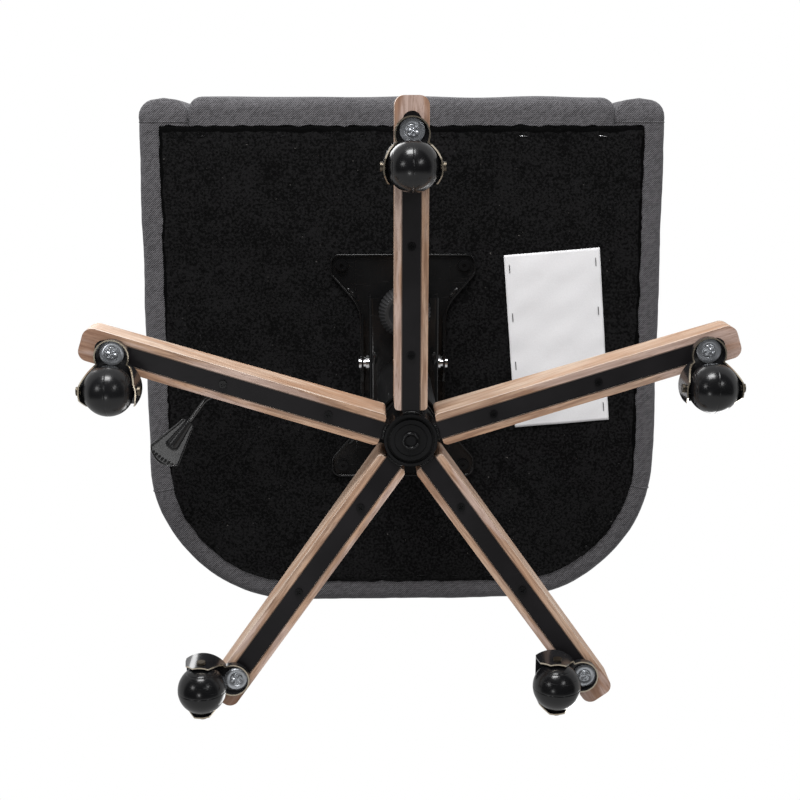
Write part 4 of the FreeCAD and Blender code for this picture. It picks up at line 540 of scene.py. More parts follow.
for name in armNames:
    coat(armWood[name], "wood_arm_" + name)
    coat(looks["basePaint"], "steel_arm_" + name)
    coat(hoodMetal, "caster_hood_" + name)
    coat(looks["rivet"], "caster_axle_" + name)
coat(looks["hubPaint"], "hub", "column_tube", "column_end_plate")
coat(looks["blackScrew"], "arm_screws", "retaining_clip", "plate_bolts")
coat(looks["zinc"], "tension_bolt")
coat(looks["chrome"], "thrust_bearing", "gas_cylinder", "tilt_axle", "release_pin")
coat(looks["hubPaint"], "piston_rod")
coat(looks["nylon"], "guide_bush")
coat(looks["blackPlastic"], "column_cover_lower", "column_cover_upper")
coat(looks["plateGloss"], "tilt_housing", "lever_bracket", "seat_plate")
coat(looks["rodBlack"], "lever_rod")
coat(looks["ply"], "seat_board")


# Upholstered tub: arms and back in one padded wall

tub = {
    "halfWidth": 0.324, "front": -0.342, "rear": 0.2975, "corner": 0.187, "thickness": 0.062,
    "armTop": 0.270, "backTop": 0.452, "lean": 0.055, "footRound": 0.013, "topRound": 0.027,
    "innerRound": 0.006, "bulge": 0.0030, "frontRound": 0.022, "seam": 0.0005, "step": 0.007,
    "weltRadius": 0.0010, "rearSeam": 4,
}


def wallSection(height, lean, inset):
    # outline of the wall, station by row: a flat foot, a round outer foot, bulged sides, a round top
    half = np.maximum(tub["thickness"] / 2 - inset, 0.0)
    foot = np.minimum(tub["footRound"], half)
    heel = np.minimum(tub["innerRound"], half)
    crown = np.minimum(np.maximum(tub["topRound"] - inset / 2, 0.0), half)
    low = inset * 0.55
    top = height - inset

    def arc(x0, z0, radius, start, end, count):
        turn = np.radians(np.linspace(start, end, count, endpoint=False))[None]
        return x0[:, None] + radius[:, None] * np.cos(turn), z0[:, None] + radius[:, None] * np.sin(turn)

    def side(x0, z0, z1, count, outward):
        share = np.linspace(0, 1, count, endpoint=False)[None]
        bow = outward * tub["bulge"] * np.sin(math.pi * share) * (half / half.max())[:, None]
        return x0[:, None] + bow, z0[:, None] + (z1 - z0)[:, None] * share

    def flat(x0, x1, z0, count):
        share = np.linspace(0, 1, count, endpoint=False)[None]
        return x0[:, None] + (x1 - x0)[:, None] * share, np.repeat(z0[:, None], count, 1)

    pieces = [
        side(heel - half, low, low, 1, 0),
        flat(heel - half, half - foot, low, 12),
        arc(half - foot, low + foot, foot, -90, 0, 7),
        side(half, low + foot, top - crown, 34, 1),
        arc(half - crown, top - crown, crown, 0, 90, 10),
        flat(half - crown, crown - half, top, 3),
        arc(crown - half, top - crown, crown, 90, 180, 10),
        side(-half, top - crown, low + heel, 34, -1),
        arc(heel - half, low + heel, heel, 180, 270, 4),
    ]
    x, z = (np.hstack(halves) for halves in zip(*pieces))
    return x + lean[:, None] * z, z


def makeTub():
    # the section carried round a U: straight arms, round rear corners, straight back
    radius = tub["corner"] - tub["thickness"] / 2
    cornerX, cornerY = tub["halfWidth"] - tub["corner"], tub["rear"] - tub["corner"]
    bend = np.linspace(0, math.pi / 2, 7)[1:-1]
    frontRound = tub["frontRound"]
    depth = np.concatenate([[-0.0015, -0.0012, -0.0006, 0.0], frontRound * (1 - np.cos(bend)), [frontRound]])
    inset = np.concatenate([[0.031, 0.028, 0.024, frontRound * 0.9],
                            frontRound * 0.9 * (1 - np.sin(bend)), [0.0]])
    seamAt = frontRound + 0.006
    extra = seamAt + np.array([-0.004, -0.0015, 0, 0.0015, 0.004])
    straight = np.arange(seamAt + 0.010, cornerY - tub["front"] - 0.003, tub["step"])
    y = tub["front"] + np.concatenate([depth, extra, straight])
    groove = np.concatenate([np.zeros(len(depth)), tub["seam"] * np.array([0, 0.5, 1, 0.5, 0]),
                             np.zeros(len(straight))])
    inset = np.concatenate([inset, np.zeros(len(extra) + len(straight))]) + groove
    turns = np.linspace(0, math.pi / 2, 30)
    back = np.arange(1, int(2 * cornerX / tub["step"])) * tub["step"]
    armX = np.full(len(y), cornerX + radius)
    x = np.concatenate([armX, cornerX + radius * np.cos(turns), cornerX - back,
                        -cornerX - radius * np.cos(turns[::-1]), -armX])
    pathY = np.concatenate([y, cornerY + radius * np.sin(turns), np.full(len(back), cornerY + radius),
                            cornerY + radius * np.sin(turns[::-1]), y[::-1]])
    facing = np.concatenate([np.zeros(len(y)), turns, np.full(len(back), math.pi / 2),
                             math.pi - turns[::-1], np.full(len(y), math.pi)])
    share = ease(np.minimum(facing, math.pi - facing) / (math.pi / 2))
    insets = np.concatenate([inset, np.zeros(2 * len(turns) + len(back)), inset[::-1]])
    height = tub["armTop"] + (tub["backTop"] - tub["armTop"]) * share
    across, up = wallSection(height, tub["lean"] * share, insets)
    along = np.cumsum(np.hypot(np.gradient(x), np.gradient(pathY)))[:, None] + 0 * across
    fade = ease(np.clip((insets.max() - insets)[:, None] / insets.max(), 0, 1))
    pull = ripple(along, up, 0.11, 2) * 0.0012 + ripple(along, up, 0.04, 5) * 0.0006 * np.exp(-up / 0.02)
    outward = across + np.sign(across) * pull * fade
    grid = xyz(x[:, None] + outward * np.cos(facing)[:, None],
               pathY[:, None] + outward * np.sin(facing)[:, None], np.maximum(up, 0.0))
    piece = gridMesh("tubUpholstery", seatPoints(grid))
    dress(piece, "tilt", fabric, ["left_arm", "right_arm", "back_rest"])
    frontSeam, rearSeam = len(depth) + 2, len(y) + tub["rearSeam"]
    seams = {"FrontRight": frontSeam, "RearRight": rearSeam, "RearLeft": len(x) - 1 - rearSeam,
             "FrontLeft": len(x) - 1 - frontSeam}
    for name, station in seams.items():
        welt = tubeGrid(grid[station], tub["weltRadius"], 8, closed=True)
        dress(gridMesh("tubSeam" + name, seatPoints(welt)), "tilt", fabric)


makeTub()
print("tub done")

rail = {"halfWidth": 0.2634, "front": -0.3435, "rear": -0.303, "top": 0.050, "round": 0.015,
        "topRound": 0.004, "endRound": 0.016, "bulge": 0.002}


def makeRail():
    # a bolster along X: rounded box section, drawn in at both ends where it meets the arms
    end = np.linspace(0, math.pi / 2, 7)
    startInset = rail["endRound"] * (1 - np.sin(end))
    startX = rail["endRound"] * (1 - np.cos(end))
    middle = np.linspace(rail["endRound"], 2 * rail["halfWidth"] - rail["endRound"], 74)[1:-1]
    x = -rail["halfWidth"] + np.concatenate([startX, middle, 2 * rail["halfWidth"] - startX[::-1]])
    inset = np.concatenate([startInset, 0 * middle, startInset[::-1]])[:, None]
    low, high = inset * 0.6, rail["top"] - inset * 0.4
    near, far = rail["front"] + inset, rail["rear"] + 0 * inset
    turn = np.radians(np.linspace(180, 270, 8))[None]
    topRound, footRound = rail["topRound"], rail["round"]
    flat, up = np.linspace(0, 1, 8)[None], np.linspace(0, 1, 10)[None]
    foot = np.linspace(0.1, 1, 8)[None]
    y = np.hstack([near + footRound * (1 + np.cos(turn)),
                   near + footRound + (far - near - footRound) * foot, far + 0 * up,
                   far + (near + topRound - far) * flat, near - rail["bulge"] * np.sin(math.pi * up)])
    z = np.hstack([low + footRound * (1 + np.sin(turn)), low + 0 * foot, low + (high - low) * up,
                   high + 0 * flat, high - topRound + (low + footRound - high + topRound) * up])
    wave = ripple(x[:, None] + 0 * y, z, 0.09, 4) * 0.0012 * (y < rail["rear"] - 0.006)
    piece = gridMesh("railUpholstery", seatPoints(xyz(x[:, None], y + wave, np.maximum(z, 0))), caps=True)
    dress(piece, "tilt", fabric, ["front_rail"])


makeRail()


def roundOutline(halfWidth, front, rear, frontRound, rearRound, inset, pull, spacing=0.012):
    # rounded rectangle moved in by inset, its four sides drawn in by pull at their middles
    half, near, far = halfWidth - inset, front + inset, rear - inset
    small, large = max(frontRound - inset / 3, 0.004), max(rearRound - inset / 3, 0.004)
    sides = int(2 * halfWidth / spacing), int((rear - front) / spacing)

    def arc(x, y, radius, start, end):
        turn = np.radians(np.linspace(start, end, 9, endpoint=False))
        return np.stack([x + radius * np.cos(turn), y + radius * np.sin(turn)], -1)

    def side(x0, y0, x1, y1, count, inX, inY):
        share = np.linspace(0, 1, count, endpoint=False)
        bow = pull * np.sin(math.pi * share)
        return np.stack([x0 + (x1 - x0) * share + inX * bow, y0 + (y1 - y0) * share + inY * bow], -1)

    return np.vstack([
        arc(small - half, near + small, small, 180, 270),
        side(small - half, near, half - small, near, sides[0], 0, 1),
        arc(half - small, near + small, small, 270, 360),
        side(half, near + small, half, far - large, sides[1], -1, 0),
        arc(half - large, far - large, large, 0, 90),
        side(half - large, far, large - half, far, sides[0], 0, -1),
        arc(large - half, far - large, large, 90, 180),
        side(-half, far - large, -half, near + small, sides[1], 1, 0)])


def cushionGrid(shape, levels, pull):
    # outline rings from the middle of the underside over the edge to the middle of the top
    outlines = [(roundOutline(*shape, inset, pull), height) for height, inset in levels]
    return np.stack([xyz(outline[:, 0], outline[:, 1], height) for outline, height in outlines])


def cushionLevels(cushion):
    # height and inset of each ring: flat underside, round edge, upright side, round edge, crowned top
    foot, low, high, edge = (cushion[key] for key in ("foot", "low", "high", "edge"))
    shelf = high - cushion["crown"]
    below = [(foot, cushion["middle"]), (foot, cushion["under"]), (foot, edge)]
    side = [(low + edge * 0.35, edge * 0.3), (low + edge, 0.0), (shelf - edge, 0.0),
            (shelf - edge * 0.3, edge * 0.3), (shelf, edge)]
    dome = [(shelf + rise, inset) for rise, inset in cushion["dome"]]
    return below + side + dome + [(high, cushion["middle"])]


def cushionBody(name, cushion):
    # the rings joined over the edge, closed in the middle of both faces and blown up
    grid = cushionGrid(cushion["shape"], cushionLevels(cushion), cushion["pull"])
    piece = gridMesh(name, grid, caps=True)
    inflate(piece, cushion, cushion["foot"])
    return piece


def getPoints(piece):
    flat = np.empty(len(piece.data.vertices) * 3, np.float32)
    piece.data.vertices.foreach_get("co", flat)
    return flat.reshape(-1, 3)


def setPoints(piece, points):
    piece.data.vertices.foreach_set("co", points.astype(np.float32).ravel())
    piece.data.update()


def keepResult(piece):
    # the mesh that the modifiers give takes the place of the piece's own
    piece.data = bpy.data.meshes.new_from_object(
        piece.evaluated_get(bpy.context.evaluated_depsgraph_get()))
    piece.modifiers.clear()


puff = {"stiffness": 12, "bending": 1.5, "frames": 20}


def inflate(piece, cushion, floorHeight):
    # remesh, blow up as cloth for some frames, cap how far a point moves, keep the underside flat
    remesh = piece.modifiers.new("remesh", "REMESH")
    remesh.mode = "VOXEL"
    remesh.voxel_size = cushion["voxel"]
    keepResult(piece)
    before = getPoints(piece)
    cloth = piece.modifiers.new("cloth", "CLOTH")
    cloth.settings.use_pressure = True
    cloth.settings.uniform_pressure_force = cushion["pressure"]
    cloth.settings.tension_stiffness = puff["stiffness"]
    cloth.settings.compression_stiffness = puff["stiffness"]
    cloth.settings.bending_stiffness = puff["bending"]
    cloth.settings.effector_weights.gravity = 0
    cloth.point_cache.frame_start, cloth.point_cache.frame_end = 1, puff["frames"]
    for step in range(1, puff["frames"] + 1):
        bpy.context.scene.frame_set(step)
    keepResult(piece)
    bpy.context.scene.frame_set(1)
    moved = getPoints(piece) - before
    length = np.linalg.norm(moved, axis=1, keepdims=True)
    moved *= np.minimum(1, cushion["reach"] / np.maximum(length, 1e-9))
    points = before + moved
    points[:, 2] = np.maximum(points[:, 2], floorHeight)
    setPoints(piece, points)


seamCord = {"radius": 0.0030, "outside": 0.006, "lift": 0.001, "spacing": 0.006}


def weltPath(piece, cushion, height):
    # the seam line laid on the cushion: nearest points of its surface, lifted a little and smoothed
    tree = BVHTree.FromObject(piece, bpy.context.evaluated_depsgraph_get())
    outline = roundOutline(*cushion["shape"], -seamCord["outside"], cushion["pull"], seamCord["spacing"])
    path = []
    for x, y in outline:
        spot, normal = tree.find_nearest(Vector((x, y, height)))[:2]
        path.append(spot + normal * seamCord["lift"])
    path = np.array(path)
    for step in range(3):
        path = (np.roll(path, 1, 0) + 2 * path + np.roll(path, -1, 0)) / 4
    return path


def finishCushion(piece, cushion, welts, convert, node):
    # seam cords at the given heights, then everything moved to its place by convert
    paths = {name: weltPath(piece, cushion, height) for name, height in welts.items()}
    setPoints(piece, convert(getPoints(piece)))
    smooth = piece.modifiers.new("smooth", "SUBSURF")
    smooth.levels = smooth.render_levels = 1
    dress(piece, "tilt", fabric, [node])
    for name, path in paths.items():
        welt = gridMesh(name, convert(tubeGrid(path, seamCord["radius"], 10, closed=True)))
        dress(welt, "tilt", fabric)


seatCushion = {"shape": (0.254, -0.334, 0.2235, 0.022, 0.120), "foot": 0.0512, "low": 0.0512,
               "high": 0.104, "edge": 0.012, "crown": 0.010, "dome": ((0.005, 0.05), (0.009, 0.11)),
               "middle": 0.24, "under": 0.10, "pull": 0.006, "reach": 0.012, "voxel": 0.0065,
               "pressure": 4.0, "weltLow": 0.008, "weltHigh": 0.004}


def makeSeatCushion():
    # lies flat on the deck, with a seam cord near the lower and the upper edge of its side
    cushion = seatCushion
    piece = cushionBody("seatCushion", cushion)
    welts = {"seatWeltLow": cushion["low"] + cushion["weltLow"],
             "seatWeltHigh": cushion["high"] - cushion["crown"] - cushion["weltHigh"]}
    finishCushion(piece, cushion, welts, seatPoints, "seat_cushion")


makeSeatCushion()
print("seat cushion done")

backCushion = {"shape": (0.172, -0.156, 0.156, 0.030, 0.038), "foot": 0.001, "low": 0.0,
               "high": 0.056, "edge": 0.014, "crown": 0.012, "dome": ((0.006, 0.045), (0.010, 0.085)),
               "middle": 0.14, "under": 0.06, "pull": 0.007, "reach": 0.014, "voxel": 0.006,
               "pressure": 5.0, "weltRear": 0.010, "weltFront": 0.004, "wallY": 0.2304,
               "wallGap": 0.004, "seatTop": 0.1129, "seatGap": 0.0035, "tall": 0.325, "lean": 0.055}


def makeBackCushion():
    # made lying down like the other, then stood up against the leaning back
    cushion = backCushion
    piece = cushionBody("backCushion", cushion)
    angle = math.atan(cushion["lean"])
    up = np.array([0, math.sin(angle), math.cos(angle)])
    forward = np.array([0, -math.cos(angle), math.sin(angle)])
    foot = np.array([0, cushion["wallY"] + cushion["lean"] * cushion["seatTop"] - cushion["wallGap"],
                     cushion["seatTop"] + cushion["seatGap"]])

    def stand(points):
        # lay the cushion's own X, Y, Z along minus X, up the back and forward
        points = np.asarray(points, float)
        local = foot + up * (cushion["tall"] / 2) + points[..., 1:2] * up + points[..., 2:3] * forward
        local = local - points[..., 0:1] * np.array([1.0, 0, 0])
        return seatPoints(local)

    welts = {"backWeltRear": cushion["weltRear"],
             "backWeltFront": cushion["high"] - cushion["crown"] - cushion["weltFront"]}
    finishCushion(piece, cushion, welts, stand, "back_cushion")


makeBackCushion()
print("back cushion done")

deck = {"shape": (0.2608, -0.3015, 0.2345, 0.004, 0.124), "edge": 0.004, "middle": 0.24,
        "heights": (0.0155, 0.018, 0.046, 0.0495, 0.0498)}


def makeDeck():
    # foam under the cushion: outline rings over two small edges to a slightly crowned top
    foot, low, high, shelf, crown = deck["heights"]
    edge, middle = deck["edge"], deck["middle"]
    levels = [(foot, middle), (foot, edge), (low, 0.0), (high, 0.0), (shelf, edge), (crown, middle)]
    piece = gridMesh("deckFoam", seatPoints(cushionGrid(deck["shape"], levels, 0.0)), caps=True)
    dress(piece, "tilt", looks["foam"], ["deck_foam"])


makeDeck()

cover = {"half": 0.2965, "front": -0.304, "rear": 0.270, "corner": 0.1595, "sag": 0.0022,
         "thickness": 0.0006, "lip": 0.005}


def makeDustCover():
    # cloth stretched over the underside: rows from front to rear, each as wide as the outline there
    rows = np.linspace(0, 1, 120)
    columns = np.linspace(-1, 1, 130)
    y = cover["front"] - cover["lip"] + (cover["rear"] - cover["front"] + cover["lip"]) * rows
    depth = np.clip((y - (cover["rear"] - cover["corner"])) / cover["corner"], 0, 1)
    half = cover["half"] - cover["corner"] * (1 - np.sqrt(np.maximum(1 - depth ** 2, 0)))
    a, b = np.meshgrid(columns, rows)
    x = a * half[:, None]
    y = y[:, None] + 0 * a
    rim = np.maximum(np.abs(a), np.abs(2 * b - 1))
    edge = ease((rim - 0.9) / 0.1)
    x = x + np.sign(a) * edge * ripple(y, b, 0.07, 3) * 0.0022
    y = y + np.sign(b - 0.5) * edge * ripple(x, b, 0.06, 7) * 0.0022
    clear = ease((np.hypot(x / 0.15, (y + 0.012) / 0.19) - 0.9) / 0.5)
    sag = cover["sag"] * clear * (1 - edge) * (0.55 + 0.45 * ripple(x, y, 0.16, 1))
    pleat = 0.0007 * ease((rim - 0.75) / 0.2) * ripple(x + y, x - y, 0.035, 6) * (1 - edge)
    hem = 0.0011 * ease((rim - 0.955) / 0.02) * (0.6 + 0.4 * ripple(x, y, 0.05, 9))
    z = -0.0006 - np.maximum(sag + pleat, 0) - np.maximum(hem, 0)
    piece = gridMesh("dustCover", seatPoints(xyz(x, y, z)), loop=False)
    thicken(piece, cover["thickness"])
    dress(piece, "tilt", dustCloth, ["dust_cover"])


makeDustCover()

coverFold = {"radius": 0.0012, "swell": 0.0008, "inset": 0.0006, "wander": 0.0018, "step": 0.004}


def makeCoverFold():
    # the cover's edge turned under: a flattened roll that swells and wanders along the outline
    half, front, rear, corner = cover["half"], cover["front"] - cover["lip"], cover["rear"], cover["corner"]
    turn = np.linspace(0, math.pi / 2, 60)
    sideY = np.arange(front, rear - corner, coverFold["step"])
    frontX = np.arange(-half, half, coverFold["step"])[1:]
    backX = np.arange(-(half - corner), half - corner, coverFold["step"])[1:]
    x = np.concatenate([frontX, np.full(len(sideY), half), half - corner + corner * np.cos(turn),
                        -backX, corner - half - corner * np.cos(turn[::-1]), np.full(len(sideY), -half)])
    y = np.concatenate([np.full(len(frontX), front), sideY, rear - corner + corner * np.sin(turn),
                        np.full(len(backX), rear), rear - corner + corner * np.sin(turn[::-1]), sideY[::-1]])
    center = np.array([0, (front + rear) / 2])
    out = np.stack([x, y], -1) - center
    out /= np.linalg.norm(out, axis=1)[:, None]
    wander = coverFold["wander"] * (ripple(x, y, 0.035, 5) + 0.6 * ripple(x, y, 0.012, 8))
    wander = wander - coverFold["inset"]
    path = xyz(x + wander * out[:, 0], y + wander * out[:, 1], -0.0009)
    swell = coverFold["radius"] + coverFold["swell"] * ripple(x, y, 0.022, 4)
    tube = tubeGrid(path, 1.0, 10) - path[:, None]
    tube[..., 2] *= 0.7
    grid = path[:, None] + tube * swell[:, None, None]
    piece = gridMesh("coverFold", seatPoints(np.concatenate([grid, grid[:1]])))
    dress(piece, "tilt", dustCloth)


makeCoverFold()

sheetSize = {"width": 0.120, "length": 0.219, "x": 0.194, "y": -0.047, "turn": math.radians(-4.5),
             "thickness": 0.0003, "belly": 0.0012, "curl": 0.0009, "under": 0.0034}


def onPaper(along, across):
    # from the paper's own two axes to the seat's X and Y
    c, s = math.cos(sheetSize["turn"]), math.sin(sheetSize["turn"])
    return along * c - across * s + sheetSize["x"], along * s + across * c + sheetSize["y"]


def makePaperSheet():
    # blank paper held at its long edges: it bellies a little between the staples
    a, b = np.meshgrid(np.linspace(-0.5, 0.5, 40), np.linspace(-0.5, 0.5, 70))
    along, across = a * sheetSize["width"], b * sheetSize["length"]
    belly = sheetSize["belly"] * np.cos(math.pi * a) + 0.0007 * ripple(along, across, 0.06, 2)
    lifted = ease((np.abs(a) - 0.36) / 0.14) * np.abs(np.sin(3.5 * math.pi * (b + 0.5)))
    z = -sheetSize["under"] - np.maximum(belly, 0) - sheetSize["curl"] * lifted
    piece = gridMesh("paperSheet", seatPoints(xyz(*onPaper(along, across), z)), loop=False)
    thicken(piece, sheetSize["thickness"])
    dress(piece, "tilt", paper, ["blank_sheet"])


makePaperSheet()

stapleSize = {"length": 0.010, "wire": 0.00045, "drop": 0.0016, "bend": 0.0006, "edge": 0.007,
              "underCover": 0.0026, "underPaper": 0.0053, "paperEdge": 0.006,
              "paperShares": (-0.42, -0.14, 0.14, 0.42)}


def staplePlaces():
    # middle and direction of each staple along the cover's edge
    places = []
    half, front, rear, corner = cover["half"], cover["front"], cover["rear"], cover["corner"]
    edge = stapleSize["edge"]
    for share in (-0.83, -0.5, -0.17, 0.17, 0.5, 0.83):
        places.append((share * half, front + edge, math.radians(8 * share)))
        places.append((share * (half - corner), rear - edge, math.radians(-8 * share)))
    for share in (0.1, 0.3, 0.5, 0.7, 0.9):
        y = front + share * (rear - corner - front)
        places.append((half - edge, y, math.radians(90 + 10 * share)))
        places.append((edge - half, y, math.radians(90 - 10 * share)))
    for turn in (25, 50, 75):
        angle = math.radians(turn)
        x = half - corner + (corner - edge) * math.cos(angle)
        y = rear - corner + (corner - edge) * math.sin(angle)
        places.append((x, y, math.radians(turn + 90)))
        places.append((-x, y, math.radians(90 - turn)))
    return places


def stapleGrid(x, y, z, angle):
    # a crown of wire whose ends turn up into the frame
    half, drop = stapleSize["length"] / 2, stapleSize["drop"]
    bend = stapleSize["bend"]
    local = np.array([[-half, drop], [-half, bend], [-half + bend, 0], [0, 0], [half - bend, 0],
                      [half, bend], [half, drop]])
    turned = xyz(x + local[:, 0] * math.cos(angle), y + local[:, 0] * math.sin(angle), z + local[:, 1])
    return tubeGrid(turned, stapleSize["wire"], 6)


def joinGrids(name, grids):
    # several closed tubes in one mesh
    faces, start = [], 0
    for grid in grids:
        index, quads = gridFaces(grid, start)
        faces += quads + [index[0].tolist(), index[-1].tolist()]
        start += index.size
    return pointMesh(name, np.vstack([grid.reshape(-1, 3) for grid in grids]), faces)


def makeStaples():
    # bright where the paint of the wire has gone, at the front right; the rest are blackened
    places = staplePlaces()
    shiny = [(x, y) for x, y, angle in places if y < cover["front"] + 0.02 and x > 0.1]
    bright, dark = [], []
    for x, y, angle in places:
        grid = seatPoints(stapleGrid(x, y, -stapleSize["underCover"], angle))
        (bright if (x, y) in shiny else dark).append(grid)
    dress(joinGrids("coverStaples", bright), "tilt", looks["staple"], ["staples"])
    for side in (-1, 1):
        for share in stapleSize["paperShares"]:
            x, y = onPaper(side * (sheetSize["width"] / 2 - stapleSize["paperEdge"]),
                           share * sheetSize["length"])
            upright = sheetSize["turn"] + math.pi / 2
            dark.append(seatPoints(stapleGrid(x, y, -stapleSize["underPaper"], upright)))
    dress(joinGrids("paperStaples", dark), "tilt", looks["blackScrew"])


makeStaples()

spring = {"y": -0.090, "low": -0.0777, "length": 0.020, "outside": 0.034, "wire": 0.0026,
          "turns": 2.5, "keep": 0.41}


def makeSpring():
    # helix: radius times cos and sin of the turn, height in step with the turn
    turn = np.linspace(0, 2 * math.pi * spring["turns"], 130)
    radius = (spring["outside"] - spring["wire"]) / 2
    rise = (spring["length"] - spring["wire"]) * turn / turn[-1]
    path = xyz(radius * np.cos(turn), spring["y"] + radius * np.sin(turn),
               spring["low"] + spring["wire"] / 2 + rise)
    piece = gridMesh("springCoil", seatPoints(tubeGrid(path, spring["wire"] / 2, 12)), caps=True)
    dress(piece, "tilt", looks["blackScrew"], ["tilt_spring"])
    anchor = seatPoints(np.array([0, spring["y"], spring["low"]]))
    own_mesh(piece)


makeSpring()

caster = {"circle": 0.313, "trail": 0.033, "radius": 0.025, "half": 0.0240, "bore": 0.00305,
          "stub": 0.0258, "stubRadius": 0.005, "capAt": 0.0196, "groove": 0.00035,
          "ceiling": 0.0513, "washer": 0.0012, "washerRadius": 0.0125, "washerDome": 0.0006,
          "head": 0.0022, "headRadius": 0.00625, "stem": 0.005, "stemTop": 0.0761}
trailTurn = {name: math.pi if name.startswith("rear") else math.pi / 2 for name in armNames}


def stemPlace(name):
    # on the caster circle, at the arm's turn
    return np.array([math.cos(armTurn[name]), math.sin(armTurn[name])]) * caster["circle"]


def makeWheel(name):
    # ball about its axle: radius root(R squared - x squared), a seam at the middle and two cap lines
    half, ball = caster["half"], caster["radius"]
    x = half * np.sin(np.linspace(-math.pi / 2, math.pi / 2, 61))
    near = np.array([-0.0010, -0.00045, -0.0002, 0, 0.0002, 0.00045, 0.0010])
    x = np.sort(np.concatenate([x, near, near + caster["capAt"], near - caster["capAt"]]))
    radius = np.sqrt(ball ** 2 - x ** 2)
    for spot in (-caster["capAt"], 0, caster["capAt"]):
        radius = radius - caster["groove"] * np.exp(-((x - spot) / 0.00032) ** 2)
    ends = [(-caster["stub"], caster["bore"]), (-caster["stub"], caster["stubRadius"]),
            (-half, caster["stubRadius"])]
    profile = ends + list(zip(x, radius)) + [(-a, b) for a, b in reversed(ends)]
    along, out = np.array(profile).T
    turn = around(128)
    y, z = out[:, None] * np.cos(turn), out[:, None] * np.sin(turn)
    grid = xyz(along[:, None], y, z)
    grid = np.concatenate([grid, grid[:1]])
    axleTurn = trailTurn[name]
    side = np.array([-math.sin(axleTurn), math.cos(axleTurn), 0])
    ahead = np.array([math.cos(axleTurn), math.sin(axleTurn), 0])
    middle = np.append(stemPlace(name), ball) + ahead * caster["trail"]
    placed = middle + grid[..., :1] * side + grid[..., 1:2] * ahead + grid[..., 2:] * [0, 0, 1]
    dress(gridMesh("ball_" + name, placed), "ball_" + name, looks["ball"],
          ["caster_wheel_" + name])


def makeStemHeads():
    # domed washer, then a head peened into five petals: its height falls with cos of five turns
    low = caster["ceiling"] - caster["washer"]
    face = low - caster["head"]
    headR, washerR = caster["headRadius"], caster["washerRadius"]
    across = np.linspace(0, 1, 12)
    ring = np.linspace(0, 1, 10)
    radius = np.concatenate([headR * across, headR + (washerR - headR) * ring, [washerR] * 2,
                             [caster["stem"]] * 2])
    height = np.concatenate([face + 0.0009 * across ** 4, low - caster["washerDome"] * np.sin(math.pi * ring),
                             [low + 0.0002, caster["ceiling"]], [caster["ceiling"], caster["stemTop"]]])
    mark = np.concatenate([across, np.full(len(ring) + 4, 9.0)])[:, None]

    def petals(r, z, angle):
        press = 0.5 + 0.5 * np.cos(5 * angle)
        dent = 0.0013 * np.exp(-((mark - 0.55) / 0.28) ** 2) * press ** 1.5
        ridge = -0.0004 * np.exp(-((mark - 0.80) / 0.15) ** 2) * (1 - press)
        pip = 0.0006 * np.exp(-(mark / 0.14) ** 2)
        return r, z + (dent + ridge + pip) * (mark < 2)

    grids = [turnedGrid(radius, height, stemPlace(name), 80, petals) for name in armNames]
    dress(joinGrids("stemHeads", grids), "base", looks["zinc"], ["caster_stems"])


for name in armNames:
    makeWheel(name)
makeStemHeads()
print("casters done")

knob = {"y": -0.090, "top": -0.078, "height": 0.026, "radius": 0.031, "foot": 0.0242,
        "dish": 0.0186, "dishDepth": 0.0039, "bore": 0.00505, "ribs": 40, "ribDepth": 0.0011}


def makeKnob():
    # cone below and rim above, cut by upright flutes: radius less depth times a square-shouldered cosine
    low = knob["top"] - knob["height"]
    middle = knob["top"] - knob["height"] * 0.45
    cone = np.linspace(0, 1, 9)
    radius = np.concatenate([[knob["bore"], knob["dish"] - 0.0015, knob["dish"], knob["dish"] + 0.0006],
                             knob["foot"] - 0.001 + 0 * cone[:1],
                             knob["foot"] + (knob["radius"] - knob["foot"]) * np.sin(cone * math.pi / 2),
                             [knob["radius"]] * 3, [knob["radius"] - 0.0012, knob["bore"], knob["bore"]]])
    height = np.concatenate([[low + knob["dishDepth"]] * 2, [low + 0.0008, low], [low],
                             low + 0.0004 + (middle - low - 0.0004) * cone,
                             middle + (knob["top"] - 0.001 - middle) * np.array([0.33, 0.66, 1.0]),
                             [knob["top"], knob["top"], low + knob["dishDepth"]]])
    cutIn = np.zeros(len(radius))
    cutIn[5:5 + len(cone) + 3] = 1
    cutIn[5] = 0.4
    cutIn = cutIn[:, None]

    def flutes(r, z, angle):
        wave = ease(0.5 + 1.1 * np.cos(knob["ribs"] * angle))
        return r - knob["ribDepth"] * cutIn * (1 - wave), z + 0.0006 * cutIn * (1 - wave)

    grid = turnedGrid(radius, height, (0, knob["y"]), knob["ribs"] * 8, flutes)
    piece = gridMesh("tensionKnob", seatPoints(grid))
    dress(piece, "knob", looks["knobPlastic"], ["tension_knob"])


makeKnob()

paddle = {"root": (-0.2626, 0.0434, 0.331), "bend": (-0.239, 0.012, 0.334), "length": 0.064,
          "tip": 0.0225, "rootHalf": 0.010, "shoulder": 0.008, "bow": 0.010, "half": 0.002,
          "rim": 0.0011, "rimWidth": 0.0022, "coneRoot": 0.0041, "coneTip": 0.0085,
          "coneLength": 0.0397, "coneEnd": 0.0405, "ridges": 9, "ridgeInset": 0.0062,
          "ridgeCurve": 7.0, "ridgeHalf": 0.0011, "ridgeHeight": 0.0007, "ridgeReach": 0.0188}


